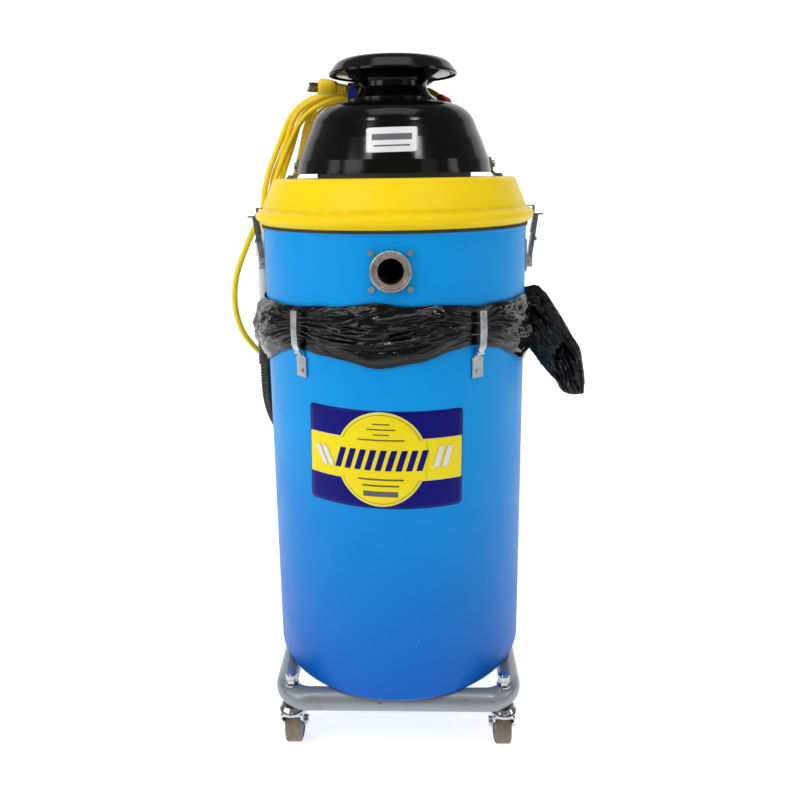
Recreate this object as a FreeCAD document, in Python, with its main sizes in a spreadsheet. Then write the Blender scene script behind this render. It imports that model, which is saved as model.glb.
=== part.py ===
import FreeCAD
import Part
import Sketcher
import math
import os
import types

# Mobile dust collector: a barrel on a caster dolly, an upper section with the inlet port,
# a clamped lid with the motor head, and the filter below it.
# Frame: millimetres, +Z up from the floor, origin under the barrel's axis, front towards -Y.

SIZES = {
    # dolly frame and casters
    "tube_radius": 16, "tube_wall": 2, "frame_half": 171, "frame_bend": 40,
    "caster_height": 76, "bar_width": 30, "bar_thick": 4, "bar_offset": 70, "bar_half": 165,
    "stem_radius": 5, "stem_top": 126, "stem_foot": 61.5, "race_radius": 18.5, "race_foot": 69.2,
    "nut_radius": 9, "nut_height": 7, "washer_radius": 10.5, "washer_thick": 2,
    "wheel_radius": 30, "wheel_half": 12.5, "tyre_depth": 6, "caster_trail": 22,
    "fork_gap": 13.6, "fork_half": 16.2, "fork_front": 14, "fork_back": 21, "fork_boss": 9,
    "crown_foot": 62, "crown_top": 65, "swivel_radius": 19, "swivel_top": 68.7,
    "axle_radius": 4, "axle_half": 20, "axle_head": 7, "axle_head_thick": 3.4,
    "hub_inset": 1.5, "hub_bore_gap": 0.06, "fork_shoulder": 57,
    # barrel
    "barrel_height": 567, "barrel_foot_radius": 198, "barrel_rim_radius": 203.8,
    "barrel_wall": 2.5, "barrel_corner": 5, "rim_bead": 1.2, "rim_bead_height": 4,
    # bag
    "liner_gap": 0.8, "liner_thick": 0.8, "cuff_inner": 206.2, "cuff_outer": 214.5,
    "cuff_drop": 44, "cuff_rise": 15, "cuff_round": 5, "tail_half": 27,
    # bag clips
    "clip_azimuth": 35, "clip_azimuth_left": 39, "clip_half": 6, "clip_thick": 1.5, "clip_pin_radius": 1.5,
    "clip_pin_reach": 209.5, "clip_knuckle": 3.4, "clip_pin_drop": 54, "clip_rise": 6,
    "clip_reach": 216.2, "tab_drop": 90, "tab_half": 9.5, "tab_thick": 1.6, "rivet_radius": 3.2,
    # upper section
    "section_height": 114, "section_radius": 205, "section_wall": 2, "rim_lip": 2,
    "shoulder_gap": 1.2, "skirt_radius": 198.6, "skirt_depth": 35,
    "gasket_height": 4, "gasket_inner": 197,
    # inlet port
    "inlet_drop": 53, "inlet_bore": 17.6, "spigot_radius": 22, "collar_radius": 28,
    "collar_reach": 213, "collar_back": 206.5, "spigot_end": 172, "collar_step": 23.5,
    "step_depth": 3, "plate_half": 33, "plate_thick": 2, "plate_face": 198.5,
    "inlet_screw_x": 26, "inlet_screw_z": 24.5, "screw_radius": 2, "screw_head": 4.2,
    "screw_reach": 207, "screw_length": 14, "screw_head_thick": 2.8,
    "elbow_bend": 34, "elbow_radius": 25, "elbow_bore": 22.2,
    # lid
    "lid_height": 68, "lid_lip_radius": 206, "lid_bead_radius": 216.5, "lid_bead_low": 7,
    "lid_bead_high": 18, "lid_groove_radius": 204.5, "lid_groove_height": 24,
    "lid_wall_foot": 203.5, "lid_wall_low": 28, "lid_top_radius": 189,
    "lid_corner": 9, "lid_opening": 78, "lid_wall": 2.5, "lid_inner_lip": 197.5,
    # side latches
    "latch_pivot_reach": 212, "latch_pivot_drop": 66, "latch_half": 7.5, "ear_thick": 2,
    "lever_knuckle": 3.6, "lever_top": 10, "lever_top_inner": 219.6, "lever_top_outer": 225.5,
    "lever_lip": 233, "lever_lip_thick": 2, "lever_foot_outer": 216, "claw_inner": 217.2,
    "claw_tip": 209, "claw_half": 6,
    "latch_pin_radius": 2, "base_half": 13, "base_thick": 2,
    "base_top_drop": 30, "base_foot_drop": 81, "ear_reach": 216.5, "ear_low_drop": 74,
    "ear_high_drop": 56, "wall_clear": 0.4, "stub_radius": 3, "stub_drop": 30,
    # exhaust ring, dome, neck and cap
    "ring_outer": 120, "ring_inner": 84, "ring_height": 7,
    "dome_brim": 151, "dome_wall": 1.5, "neck_radius": 52, "neck_bore": 49, "neck_base": 67,
    "dome_shoulder": 116, "cap_radius": 98.5, "cap_lift": 155, "cap_height": 27,
    "cap_plate_radius": 88, "cap_wall": 2, "gusset_azimuth": 53, "gusset_thick": 2,
    # dome brackets
    "bracket_half": 11, "bolt_radius": 3, "bolt_head": 5.5, "bolt_head_thick": 4,
    # motor
    "flange_radius": 96, "flange_thick": 5, "intake_radius": 22, "can_radius": 72,
    "can_wall": 2, "can_height": 58, "stator_outer": 48, "stator_inner": 30, "stator_top": 104,
    "shaft_radius": 4.25, "shaft_gap": 0.05, "armature_radius": 27, "impeller_radius": 62,
    "impeller_thick": 14, "fan_radius": 40, "fan_thick": 8,
    # filter
    "cage_radius": 100, "cage_wire": 2.5, "cage_depth": 262, "cage_rods": 8,
    "filter_radius": 107, "filter_cloth": 2, "filter_depth": 282,
    "clamp_radius": 111, "clamp_height": 14,
    # balance line
    "tube_reach": 226.2, "tube_azimuth": 167.7, "pipe_radius": 10, "pipe_wall": 1.5,
    "pipe_top_drop": 41, "pipe_foot_drop": 238, "pipe_elbow": 20, "pipe_elbow_radius": 12.5,
    "sleeve_radius": 15, "sleeve_height": 38, "sleeve_gap": 0.08, "hose_radius": 13.5,
    "port_reach": 224, "port_height": 272, "port_bend": 18, "port_radius": 15, "port_bore": 12,
    "port_flange": 22,
    # switch
    "switch_half": 19, "switch_height": 30, "switch_reach": 146, "rocker_half": 8,
    # cord
    "cord_radius": 4.75, "plug_radius": 13,
    "gland_radius": 9, "gland_right": 84, "gland_back": 50, "gland_length": 18,
}

CORNERS = {"front_left": (-1, -1), "front_right": (1, -1), "rear_left": (-1, 1), "rear_right": (1, 1)}

doc = FreeCAD.newDocument("dust_collector")
sheet = doc.addObject("Spreadsheet::Sheet", "Sizes")
for row, (word, number) in enumerate(SIZES.items(), 1):
    sheet.set(f"A{row}", word)
    sheet.set(f"B{row}", str(number))
    sheet.setAlias(f"B{row}", word)
doc.recompute()


class Size:
    """A length or angle with the sheet expression that it is bound to."""

    def __init__(self, value, text):
        self.value = value
        self.text = text

    def __add__(self, other):
        other = as_size(other)
        return Size(self.value + other.value, f"({self.text} + {other.text})")

    def __sub__(self, other):
        other = as_size(other)
        return Size(self.value - other.value, f"({self.text} - {other.text})")

    def __mul__(self, other):
        other = as_size(other)
        return Size(self.value * other.value, f"{self.text} * {other.text}")

    def __neg__(self):
        return Size(-self.value, f"(-1 * {self.text})")

    __radd__ = __add__
    __rmul__ = __mul__

    def __rsub__(self, other):
        return as_size(other) - self


def as_size(value):
    return value if isinstance(value, Size) else Size(float(value), f"({float(value)})")


s = types.SimpleNamespace(**{word: Size(float(n), f"Sizes.{word}") for word, n in SIZES.items()})

# Heights above the floor that several pieces share.
tube_axis = s.caster_height + s.tube_radius
frame_top = tube_axis + s.tube_radius
rim_top = frame_top + s.barrel_height
section_top = rim_top + s.section_height
lid_foot = section_top + s.gasket_height
lid_top = lid_foot + s.lid_height
dome_foot = lid_top + s.ring_height
cap_foot = lid_top + s.cap_lift

nodes = []


def node(thing, name):
    """Registers an object as a sub-part that is written to its own file."""
    thing.Label = name
    nodes.append(thing)
    return thing


def bind(thing, prop, value):
    thing.setExpression(prop, as_size(value).text)


def turn_about_z(thing, degrees, x=0, y=0, z=0):
    """Places a piece: turned about +Z, then moved."""
    thing.Placement = FreeCAD.Placement(
        FreeCAD.Vector(0, 0, 0), FreeCAD.Rotation(FreeCAD.Vector(0, 0, 1), degrees)
    )
    for side, value in (("x", x), ("y", y), ("z", z)):
        bind(thing, f"Placement.Base.{side}", value)
    return thing


# ---------------------------------------------------------------- sketch-based bodies


def new_body(name):
    return doc.addObject("PartDesign::Body", name)


def origin_plane(body, role):
    return next(o for o in body.Origin.OriginFeatures if o.Role == role)


def outline(body, plane, points, lift=0):
    """A closed sketch. Each point is (across, up) or (across, up, bend): bend is the radius
    of the arc to the next point, positive where it turns left. lift moves it off the plane."""
    sketch = body.newObject("Sketcher::SketchObject", "Outline")
    sketch.AttachmentSupport = [(origin_plane(body, plane), "")]
    sketch.MapMode = "FlatFace"
    bind(sketch, "AttachmentOffset.Base.z", lift)
    corners = [(as_size(p[0]), as_size(p[1])) for p in points]
    ends = []
    for i, point in enumerate(points):
        a = FreeCAD.Vector(corners[i][0].value, corners[i][1].value, 0)
        j = (i + 1) % len(points)
        b = FreeCAD.Vector(corners[j][0].value, corners[j][1].value, 0)
        if len(point) == 2:
            ends.append((sketch.addGeometry(Part.LineSegment(a, b)), 1, 2))
            continue
        radius = as_size(point[2]).value
        chord = b - a
        half = chord.Length / 2
        side = FreeCAD.Vector(-chord.y, chord.x, 0).normalize()
        rise = math.sqrt(max(radius * radius - half * half, 0))
        centre = (a + b) * 0.5 + side * math.copysign(rise, radius)
        first, last = (a, b) if radius > 0 else (b, a)
        start = math.atan2(first.y - centre.y, first.x - centre.x)
        stop = math.atan2(last.y - centre.y, last.x - centre.x)
        circle = Part.Circle(centre, FreeCAD.Vector(0, 0, 1), abs(radius))
        arc = sketch.addGeometry(Part.ArcOfCircle(circle, start, stop))
        ends.append((arc, 1, 2) if radius > 0 else (arc, 2, 1))
        size_of_arc = sketch.addConstraint(Sketcher.Constraint("Radius", arc, abs(radius)))
        wanted = as_size(point[2]) if radius > 0 else -as_size(point[2])
        bind(sketch, f"Constraints[{size_of_arc}]", wanted)
    for i, (across, up) in enumerate(corners):
        before = ends[i - 1]
        here = ends[i]
        sketch.addConstraint(Sketcher.Constraint("Coincident", before[0], before[2], here[0], here[1]))
        for kind, axis, value in (("DistanceX", -2, across), ("DistanceY", -1, up)):
            if value.value == 0:
                sketch.addConstraint(Sketcher.Constraint("PointOnObject", here[0], here[1], axis))
                continue
            index = sketch.addConstraint(
                Sketcher.Constraint(kind, -1, 1, here[0], here[1], value.value)
            )
            bind(sketch, f"Constraints[{index}]", value)
    return sketch


def circle_sketch(body, plane, radius, across=0, up=0, lift=0):
    sketch = body.newObject("Sketcher::SketchObject", "Round")
    sketch.AttachmentSupport = [(origin_plane(body, plane), "")]
    sketch.MapMode = "FlatFace"
    bind(sketch, "AttachmentOffset.Base.z", lift)
    across, up, radius = as_size(across), as_size(up), as_size(radius)
    centre = FreeCAD.Vector(across.value, up.value, 0)
    ring = sketch.addGeometry(Part.Circle(centre, FreeCAD.Vector(0, 0, 1), radius.value))
    index = sketch.addConstraint(Sketcher.Constraint("Radius", ring, radius.value))
    bind(sketch, f"Constraints[{index}]", radius)
    for kind, axis, value in (("DistanceX", -2, across), ("DistanceY", -1, up)):
        if value.value == 0:
            sketch.addConstraint(Sketcher.Constraint("PointOnObject", ring, 3, axis))
            continue
        index = sketch.addConstraint(Sketcher.Constraint(kind, -1, 1, ring, 3, value.value))
        bind(sketch, f"Constraints[{index}]", value)
    return sketch


def turned(name, points, body=None, cut=False):
    """A piece turned about the Z axis from an (r, z) outline."""
    body = body or new_body(name)
    sketch = outline(body, "XZ_Plane", points)
    kind = "PartDesign::Groove" if cut else "PartDesign::Revolution"
    turn = body.newObject(kind, "Turn")
    turn.Profile = sketch
    turn.ReferenceAxis = (sketch, ["V_Axis"])
    turn.Angle = 360
    return body


def pad(body, sketch, length, both_ways=False, reverse=False, cut=False):
    feature = body.newObject("PartDesign::Pocket" if cut else "PartDesign::Pad", "Pad")
    feature.Profile = sketch
    feature.Type = "Length"
    bind(feature, "Length", length)
    if both_ways:
        feature.SideType = "Symmetric"
    feature.Reversed = reverse
    return feature


def plate(name, plane, points, thickness, body=None, lift=0, both_ways=True, cut=False):
    """A piece cut from plate, with its outline on an origin plane."""
    body = body or new_body(name)
    pad(body, outline(body, plane, points, lift), thickness, both_ways, cut=cut)
    return body


# ---------------------------------------------------------------- Part primitives


def rod(name, radius, length, at=(0, 0, 0), along=(0, 0, 1)):
    """A round bar from a point along a direction."""
    thing = doc.addObject("Part::Cylinder", name)
    bind(thing, "Radius", radius)
    bind(thing, "Height", length)
    thing.Placement.Rotation = FreeCAD.Rotation(FreeCAD.Vector(0, 0, 1), FreeCAD.Vector(*along))
    for side, value in zip("xyz", at):
        bind(thing, f"Placement.Base.{side}", value)
    return thing


def block(name, low, size):
    thing = doc.addObject("Part::Box", name)
    for prop, value in zip(("Length", "Width", "Height"), size):
        bind(thing, prop, value)
    for side, value in zip("xyz", low):
        bind(thing, f"Placement.Base.{side}", value)
    return thing


def torus(name, ring_radius, section_radius, at=(0, 0, 0), sweep=360, rotation=None):
    thing = doc.addObject("Part::Torus", name)
    bind(thing, "Radius1", ring_radius)
    bind(thing, "Radius2", section_radius)
    thing.Angle3 = sweep
    if rotation:
        thing.Placement.Rotation = rotation
    for side, value in zip("xyz", at):
        bind(thing, f"Placement.Base.{side}", value)
    return thing


def fuse(name, *things):
    joined = doc.addObject("Part::MultiFuse", name)
    joined.Shapes = list(things)
    return joined


def cut(name, base, *tools):
    result = doc.addObject("Part::Cut", name)
    result.Base = base
    result.Tool = tools[0] if len(tools) == 1 else fuse(name + "_tools", *tools)
    return result


def group(name, *things):
    """Separate solids that share one node."""
    together = doc.addObject("Part::Compound", name)
    together.Links = list(things)
    return together


def drilled_ring(name, outer, bore, height, at):
    ring = rod(name + "_disc", outer, height, at)
    hole = rod(name + "_hole", bore, height + 2, (at[0], at[1], at[2] - 1))
    return cut(name, ring, hole)


# ---------------------------------------------------------------- dolly and casters


def tube_loop(body, radius, kind="PartDesign::AdditivePipe"):
    """Adds to a body, or takes from it, a round bar that follows the frame's rounded square."""
    half = s.frame_half
    edge = s.frame_half - s.frame_bend
    bend = s.frame_bend
    path = outline(
        body,
        "XY_Plane",
        [
            (half, -edge), (half, edge, bend), (edge, half), (-edge, half, bend),
            (-half, edge), (-half, -edge, bend), (-edge, -half), (edge, -half, bend),
        ],
        lift=tube_axis,
    )
    ring = circle_sketch(body, "XZ_Plane", radius, half, tube_axis, lift=edge)
    pipe = body.newObject(kind, "Pipe")
    pipe.Profile = ring
    pipe.Spine = path
    return body


def corner_offset():
    """How far a corner's middle lies from the axis, along X and along Y."""
    return s.frame_half - s.frame_bend * (1 - math.sqrt(0.5))


def dolly():
    at = corner_offset()
    frame = tube_loop(new_body("frame"), s.tube_radius)
    tube_loop(frame, s.tube_radius - s.tube_wall, "PartDesign::SubtractivePipe")
    for x, y in CORNERS.values():
        drill = circle_sketch(frame, "XY_Plane", s.stem_radius + 0.1, at * x, at * y, lift=frame_top + 1)
        pad(frame, drill, s.tube_radius * 2 + 4, cut=True)
    node(frame, "dolly_frame")

    bars = [
        block(
            f"bar{k}",
            (-s.bar_half, s.bar_offset * side - s.bar_width * 0.5, frame_top - s.bar_thick),
            (s.bar_half * 2, s.bar_width, s.bar_thick),
        )
        for k, side in enumerate((-1, 1))
    ]
    saddle = tube_loop(new_body("saddle"), s.tube_radius)
    node(cut("bars", group("bar_pair", *bars), saddle), "dolly_cross_bars")

    stems = []
    nuts = []
    for name, (x, y) in CORNERS.items():
        stem = turned(
            f"stem_{name}",
            [
                (0, s.stem_foot), (s.stem_radius, s.stem_foot), (s.stem_radius, s.race_foot),
                (s.race_radius - 1, s.race_foot), (s.race_radius, s.race_foot + 2.5),
                (s.race_radius - 4, s.caster_height), (s.stem_radius, s.caster_height),
                (s.stem_radius, s.stem_top), (0, s.stem_top),
            ],
        )
        stems.append(turn_about_z(stem, 0, at * x, at * y, 0))
        for k in (0, 1):
            foot = frame_top + s.washer_thick + (s.nut_height + 0.5) * k
            nut = doc.addObject("Part::Prism", f"nut{k}_{name}")
            nut.Polygon = 6
            bind(nut, "Circumradius", s.nut_radius)
            bind(nut, "Height", s.nut_height)
            for side, value in zip("xyz", (at * x, at * y, foot)):
                bind(nut, f"Placement.Base.{side}", value)
            bore = rod(f"nut{k}_bore_{name}", s.stem_radius, s.nut_height + 2, (at * x, at * y, foot - 1))
            nuts.append(cut(f"nut{k}_drilled_{name}", nut, bore))
        nuts.append(
            drilled_ring(
                f"washer_{name}", s.washer_radius, s.stem_radius, s.washer_thick, (at * x, at * y, frame_top)
            )
        )
    node(group("stems", *stems), "caster_stems")
    node(group("nuts", *nuts), "stem_nuts")


def caster(name, x, y):
    """One swivel caster. Its own frame stands on the floor below the stem, with the trail towards +Y."""
    at = corner_offset()
    place = (at * x, at * y, 0)

    fork = new_body(f"fork_{name}")
    legs = outline(
        fork,
        "YZ_Plane",
        [
            (-s.fork_front, s.crown_top), (-s.fork_front, s.fork_shoulder),
            (s.caster_trail - s.fork_boss, s.wheel_radius, s.fork_boss),
            (s.caster_trail, s.wheel_radius - s.fork_boss, s.fork_boss),
            (s.caster_trail + s.fork_boss, s.wheel_radius), (s.fork_back, s.fork_shoulder),
            (s.fork_back, s.crown_top),
        ],
    )
    pad(fork, legs, s.fork_half * 2, both_ways=True)
    gap = outline(
        fork,
        "YZ_Plane",
        [(-s.fork_front - 5, -5), (s.caster_trail * 2, -5), (s.caster_trail * 2, s.crown_foot),
         (-s.fork_front - 5, s.crown_foot)],
    )
    pad(fork, gap, s.fork_gap * 2, both_ways=True, cut=True)
    swivel = circle_sketch(fork, "XY_Plane", s.swivel_radius, lift=s.crown_top)
    pad(fork, swivel, s.swivel_top - s.crown_top)
    stem_hole = circle_sketch(fork, "XY_Plane", s.stem_radius + 0.05, lift=s.swivel_top + 1)
    pad(fork, stem_hole, s.swivel_top - s.crown_foot + 3, cut=True)
    axle_hole = circle_sketch(fork, "YZ_Plane", s.axle_radius, s.caster_trail, s.wheel_radius)
    pad(fork, axle_hole, s.fork_half * 3, both_ways=True, cut=True)
    axle_at = (-s.axle_half, s.caster_trail, s.wheel_radius)
    axle = fuse(
        f"axle_{name}",
        rod(f"axle_bar_{name}", s.axle_radius, s.axle_half * 2, axle_at, (1, 0, 0)),
        rod(f"axle_head_{name}", s.axle_head, s.axle_head_thick, axle_at, (1, 0, 0)),
        rod(
            f"axle_nut_{name}", s.axle_head, s.axle_head_thick,
            (s.axle_half - s.axle_head_thick, s.caster_trail, s.wheel_radius), (1, 0, 0),
        ),
    )
    node(turn_about_z(group(f"fork_and_axle_{name}", fork, axle), 0, *place), f"caster_fork_{name}")

    wheel_at = (at * x, at * y + s.caster_trail, s.wheel_radius)
    rim = s.wheel_radius - s.tyre_depth
    core = wheel_part(
        f"core_{name}",
        [
            (-s.wheel_half, s.axle_radius + s.hub_bore_gap), (s.wheel_half, s.axle_radius + s.hub_bore_gap),
            (s.wheel_half, s.axle_head + 1), (s.wheel_half - s.hub_inset * 2, s.axle_head + 2),
            (s.wheel_half - s.hub_inset * 2, rim - 4), (s.wheel_half - s.hub_inset, rim),
            (-s.wheel_half + s.hub_inset, rim), (-s.wheel_half + s.hub_inset * 2, rim - 4),
            (-s.wheel_half + s.hub_inset * 2, s.axle_head + 2), (-s.wheel_half, s.axle_head + 1),
        ],
    )
    node(turn_about_z(core, 0, *wheel_at), f"wheel_core_{name}")
    tyre = wheel_part(
        f"tyre_{name}",
        [
            (-s.wheel_half + s.hub_inset, rim), (s.wheel_half - s.hub_inset, rim),
            (s.wheel_half, rim + 1.5), (s.wheel_half - 0.6, s.wheel_radius - 2.4, 3.4),
            (s.wheel_half - 3, s.wheel_radius), (-s.wheel_half + 3, s.wheel_radius, 3.4),
            (-s.wheel_half + 0.6, s.wheel_radius - 2.4), (-s.wheel_half, rim + 1.5),
        ],
    )
    node(turn_about_z(tyre, 0, *wheel_at), f"wheel_tyre_{name}")


def wheel_part(name, points):
    """A piece turned about the X axis from an (x, r) outline."""
    body = new_body(name)
    sketch = outline(body, "XZ_Plane", points)
    turn = body.newObject("PartDesign::Revolution", "Turn")
    turn.Profile = sketch
    turn.ReferenceAxis = (sketch, ["H_Axis"])
    turn.Angle = 360
    return body


# ---------------------------------------------------------------- barrel and bag


def barrel():
    foot = s.barrel_foot_radius
    top = s.barrel_rim_radius
    wall = s.barrel_wall
    corner = s.barrel_corner
    shell = turned(
        "barrel_shell",
        [
            (0, frame_top), (foot - corner, frame_top, corner), (foot, frame_top + corner),
            (top, rim_top - s.rim_bead_height), (top + s.rim_bead, rim_top - s.rim_bead_height + 1),
            (top + s.rim_bead, rim_top), (top - wall, rim_top),
            (foot - wall, frame_top + corner, wall - corner), (foot - corner, frame_top + wall),
            (0, frame_top + wall),
        ],
    )
    port_level = s.port_height - s.port_bend
    port = rod("port_tool", s.port_bore + 0.2, 40, (s.port_reach - 45, 0, port_level), (1, 0, 0))
    port_hole = turn_about_z(group("port_tools", port), PORT_AZIMUTH)
    node(cut("barrel_drilled", shell, port_hole), "barrel")

    thick = s.liner_thick
    low = frame_top + wall + 1
    side = foot - wall - s.liner_gap
    node(
        turned(
            "liner",
            [
                (0, low), (foot - corner, low, corner - wall - 1),
                (side, low + corner - wall - 1), (top - wall - s.liner_gap, rim_top - 3),
                (top - wall - s.liner_gap - thick, rim_top - 3),
                (side - thick, low + corner - wall - 1, -(corner - wall - 1 - thick)),
                (foot - corner, low + thick), (0, low + thick),
            ],
        ),
        "bag_liner",
    )

    low = rim_top - s.cuff_drop
    high = rim_top + s.cuff_rise
    bulge = s.cuff_round
    cuff = turned(
        "cuff",
        [
            (s.cuff_inner, low), (s.cuff_outer - bulge, low, bulge), (s.cuff_outer, low + bulge),
            (s.cuff_outer, high - bulge, bulge), (s.cuff_outer - bulge, high), (s.cuff_inner, high),
        ],
    )
    tail = [
        (209, 7), (222, 9), (240, -10), (262, -38), (291, -79), (305, -129), (307, -154),
        (276, -166), (256, -145), (232, -123), (229, -103), (215, -66), (209, -52),
    ]
    plate("tail", "XZ_Plane", [(x, rim_top + z) for x, z in tail], s.tail_half * 2, cuff)
    node(cuff, "bag_cuff")


def clip_tabs_and_straps():
    """Four brackets riveted to the barrel, and the sprung straps hinged on them."""
    pin_z = rim_top - s.clip_pin_drop
    reach = s.clip_pin_reach
    knuckle = s.clip_knuckle
    brackets = []
    turns = {
        "front_left": -90 - SIZES["clip_azimuth_left"], "front_right": -90 + SIZES["clip_azimuth"],
        "rear_left": 90 + SIZES["clip_azimuth"], "rear_right": 90 - SIZES["clip_azimuth"],
    }
    wall = s.barrel_rim_radius + 0.3
    tab_foot = rim_top - s.tab_drop
    for name, turn in turns.items():
        tab = new_body(f"tab_{name}")
        shape = outline(
            tab,
            "XZ_Plane",
            [
                (wall, tab_foot), (wall + s.tab_thick, tab_foot), (wall + s.tab_thick, pin_z - 5),
                (reach, pin_z - knuckle, knuckle), (reach, pin_z + knuckle, knuckle),
                (reach - knuckle, pin_z), (wall, pin_z - 3),
            ],
        )
        pad(tab, shape, s.clip_half * 2, both_ways=True)
        foot_plate = outline(
            tab,
            "XZ_Plane",
            [
                (wall, tab_foot), (wall + s.tab_thick, tab_foot),
                (wall + s.tab_thick, pin_z - 7), (wall, pin_z - 7),
            ],
        )
        pad(tab, foot_plate, s.tab_half * 2, both_ways=True)
        middle = outline(
            tab,
            "XZ_Plane",
            [
                (reach - 4, pin_z - 4.2), (reach + 6, pin_z - 4.2),
                (reach + 6, pin_z + 6), (reach - 4, pin_z + 6),
            ],
        )
        pad(tab, middle, s.clip_half + 0.6, both_ways=True, cut=True)
        pin = rod(
            f"clip_pin_{name}", s.clip_pin_radius, s.clip_half * 2, (reach, -s.clip_half, pin_z), (0, 1, 0)
        )
        pin_hole = rod(
            f"clip_pin_hole_{name}", s.clip_pin_radius, s.clip_half * 2 + 2,
            (reach, -s.clip_half - 1, pin_z), (0, 1, 0),
        )
        rivet = rod(
            f"clip_rivet_{name}", s.rivet_radius, 1.4,
            (wall + s.tab_thick, 0, tab_foot + s.clip_half + 3), (1, 0, 0),
        )
        bracket = group(f"bracket_{name}", cut(f"tab_drilled_{name}", tab, pin_hole), pin, rivet)
        brackets.append(turn_about_z(bracket, turn))

        strap = new_body(f"strap_{name}")
        out = s.clip_reach
        thick = s.clip_thick
        high = rim_top + s.clip_rise
        line = outline(
            strap,
            "XZ_Plane",
            [
                (reach - knuckle, pin_z, knuckle), (reach, pin_z - knuckle, knuckle),
                (reach + knuckle, pin_z),
                (reach + knuckle, pin_z + 1), (out + thick, pin_z + 12), (out + thick + 1, pin_z + 34),
                (out + thick, high - 6), (out + thick - 0.4, high), (out - 0.4, high), (out, high - 6.5),
                (out + 1, pin_z + 34), (out, pin_z + 13), (reach, pin_z + 4.4),
            ],
        )
        pad(strap, line, s.clip_half * 2, both_ways=True)
        for side in (-1, 1):
            ear = outline(
                strap,
                "XZ_Plane",
                [(reach - 6, pin_z - 6), (reach + 4.6, pin_z - 6), (reach + 4.6, pin_z + 4.2),
                 (reach - 6, pin_z + 4.2)],
                lift=(s.clip_half * 0.5 + 0.1) * side if side > 0 else -(s.clip_half + 1),
            )
            pad(strap, ear, s.clip_half * 0.5 + 0.9, cut=True, reverse=True)
        bore = circle_sketch(strap, "XZ_Plane", s.clip_pin_radius + 0.05, reach, pin_z)
        pad(strap, bore, s.clip_half * 3, both_ways=True, cut=True)
        node(turn_about_z(strap, turn), f"bag_clip_{name}")
    node(group("brackets", *brackets), "bag_clip_brackets")


# ---------------------------------------------------------------- upper section and inlet


def inlet_screw_places():
    for k, (x, z) in enumerate(CORNERS.values()):
        yield k, s.inlet_screw_x * x, lid_foot - s.inlet_drop + s.inlet_screw_z * z


def upper_section():
    wall = s.section_wall
    lip = s.rim_lip
    low = rim_top + s.shoulder_gap
    skirt = s.skirt_radius
    top = s.section_radius
    shell = turned(
        "section_shell",
        [
            (skirt - wall, rim_top - s.skirt_depth), (skirt, rim_top - s.skirt_depth),
            (skirt + 0.3, low), (s.barrel_rim_radius, low + 1.3), (top, section_top - lip * 2),
            (top + lip, section_top - lip), (top + lip, section_top), (top - lip * 3, section_top),
            (top - wall, section_top - lip * 2), (s.barrel_rim_radius - wall, low + 4),
            (skirt + 0.3 - wall, low + 2),
        ],
    )
    inlet_z = lid_foot - s.inlet_drop
    tools = [rod("inlet_hole", s.spigot_radius + 0.3, 40, (0, -s.collar_reach - 5, inlet_z), (0, 1, 0))]
    for k, x, z in inlet_screw_places():
        start = (x, -s.collar_reach - 5, z)
        tools.append(rod(f"screw_hole{k}", s.screw_radius + 0.2, 30, start, (0, 1, 0)))
    stub = rod(
        "stub_tool", s.pipe_radius + 0.3, 30,
        (s.tube_reach - s.pipe_elbow - 18, 0, lid_foot - s.pipe_top_drop + s.pipe_elbow), (1, 0, 0),
    )
    tools.append(turn_about_z(group("stub_tools", stub), SIZES["tube_azimuth"]))
    node(cut("section_drilled", shell, *tools), "upper_section")
    gasket = [
        (s.gasket_inner, section_top), (top + lip + 0.4, section_top),
        (top + lip + 0.4, lid_foot), (s.gasket_inner, lid_foot),
    ]
    node(turned("gasket", gasket), "lid_gasket")


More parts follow.
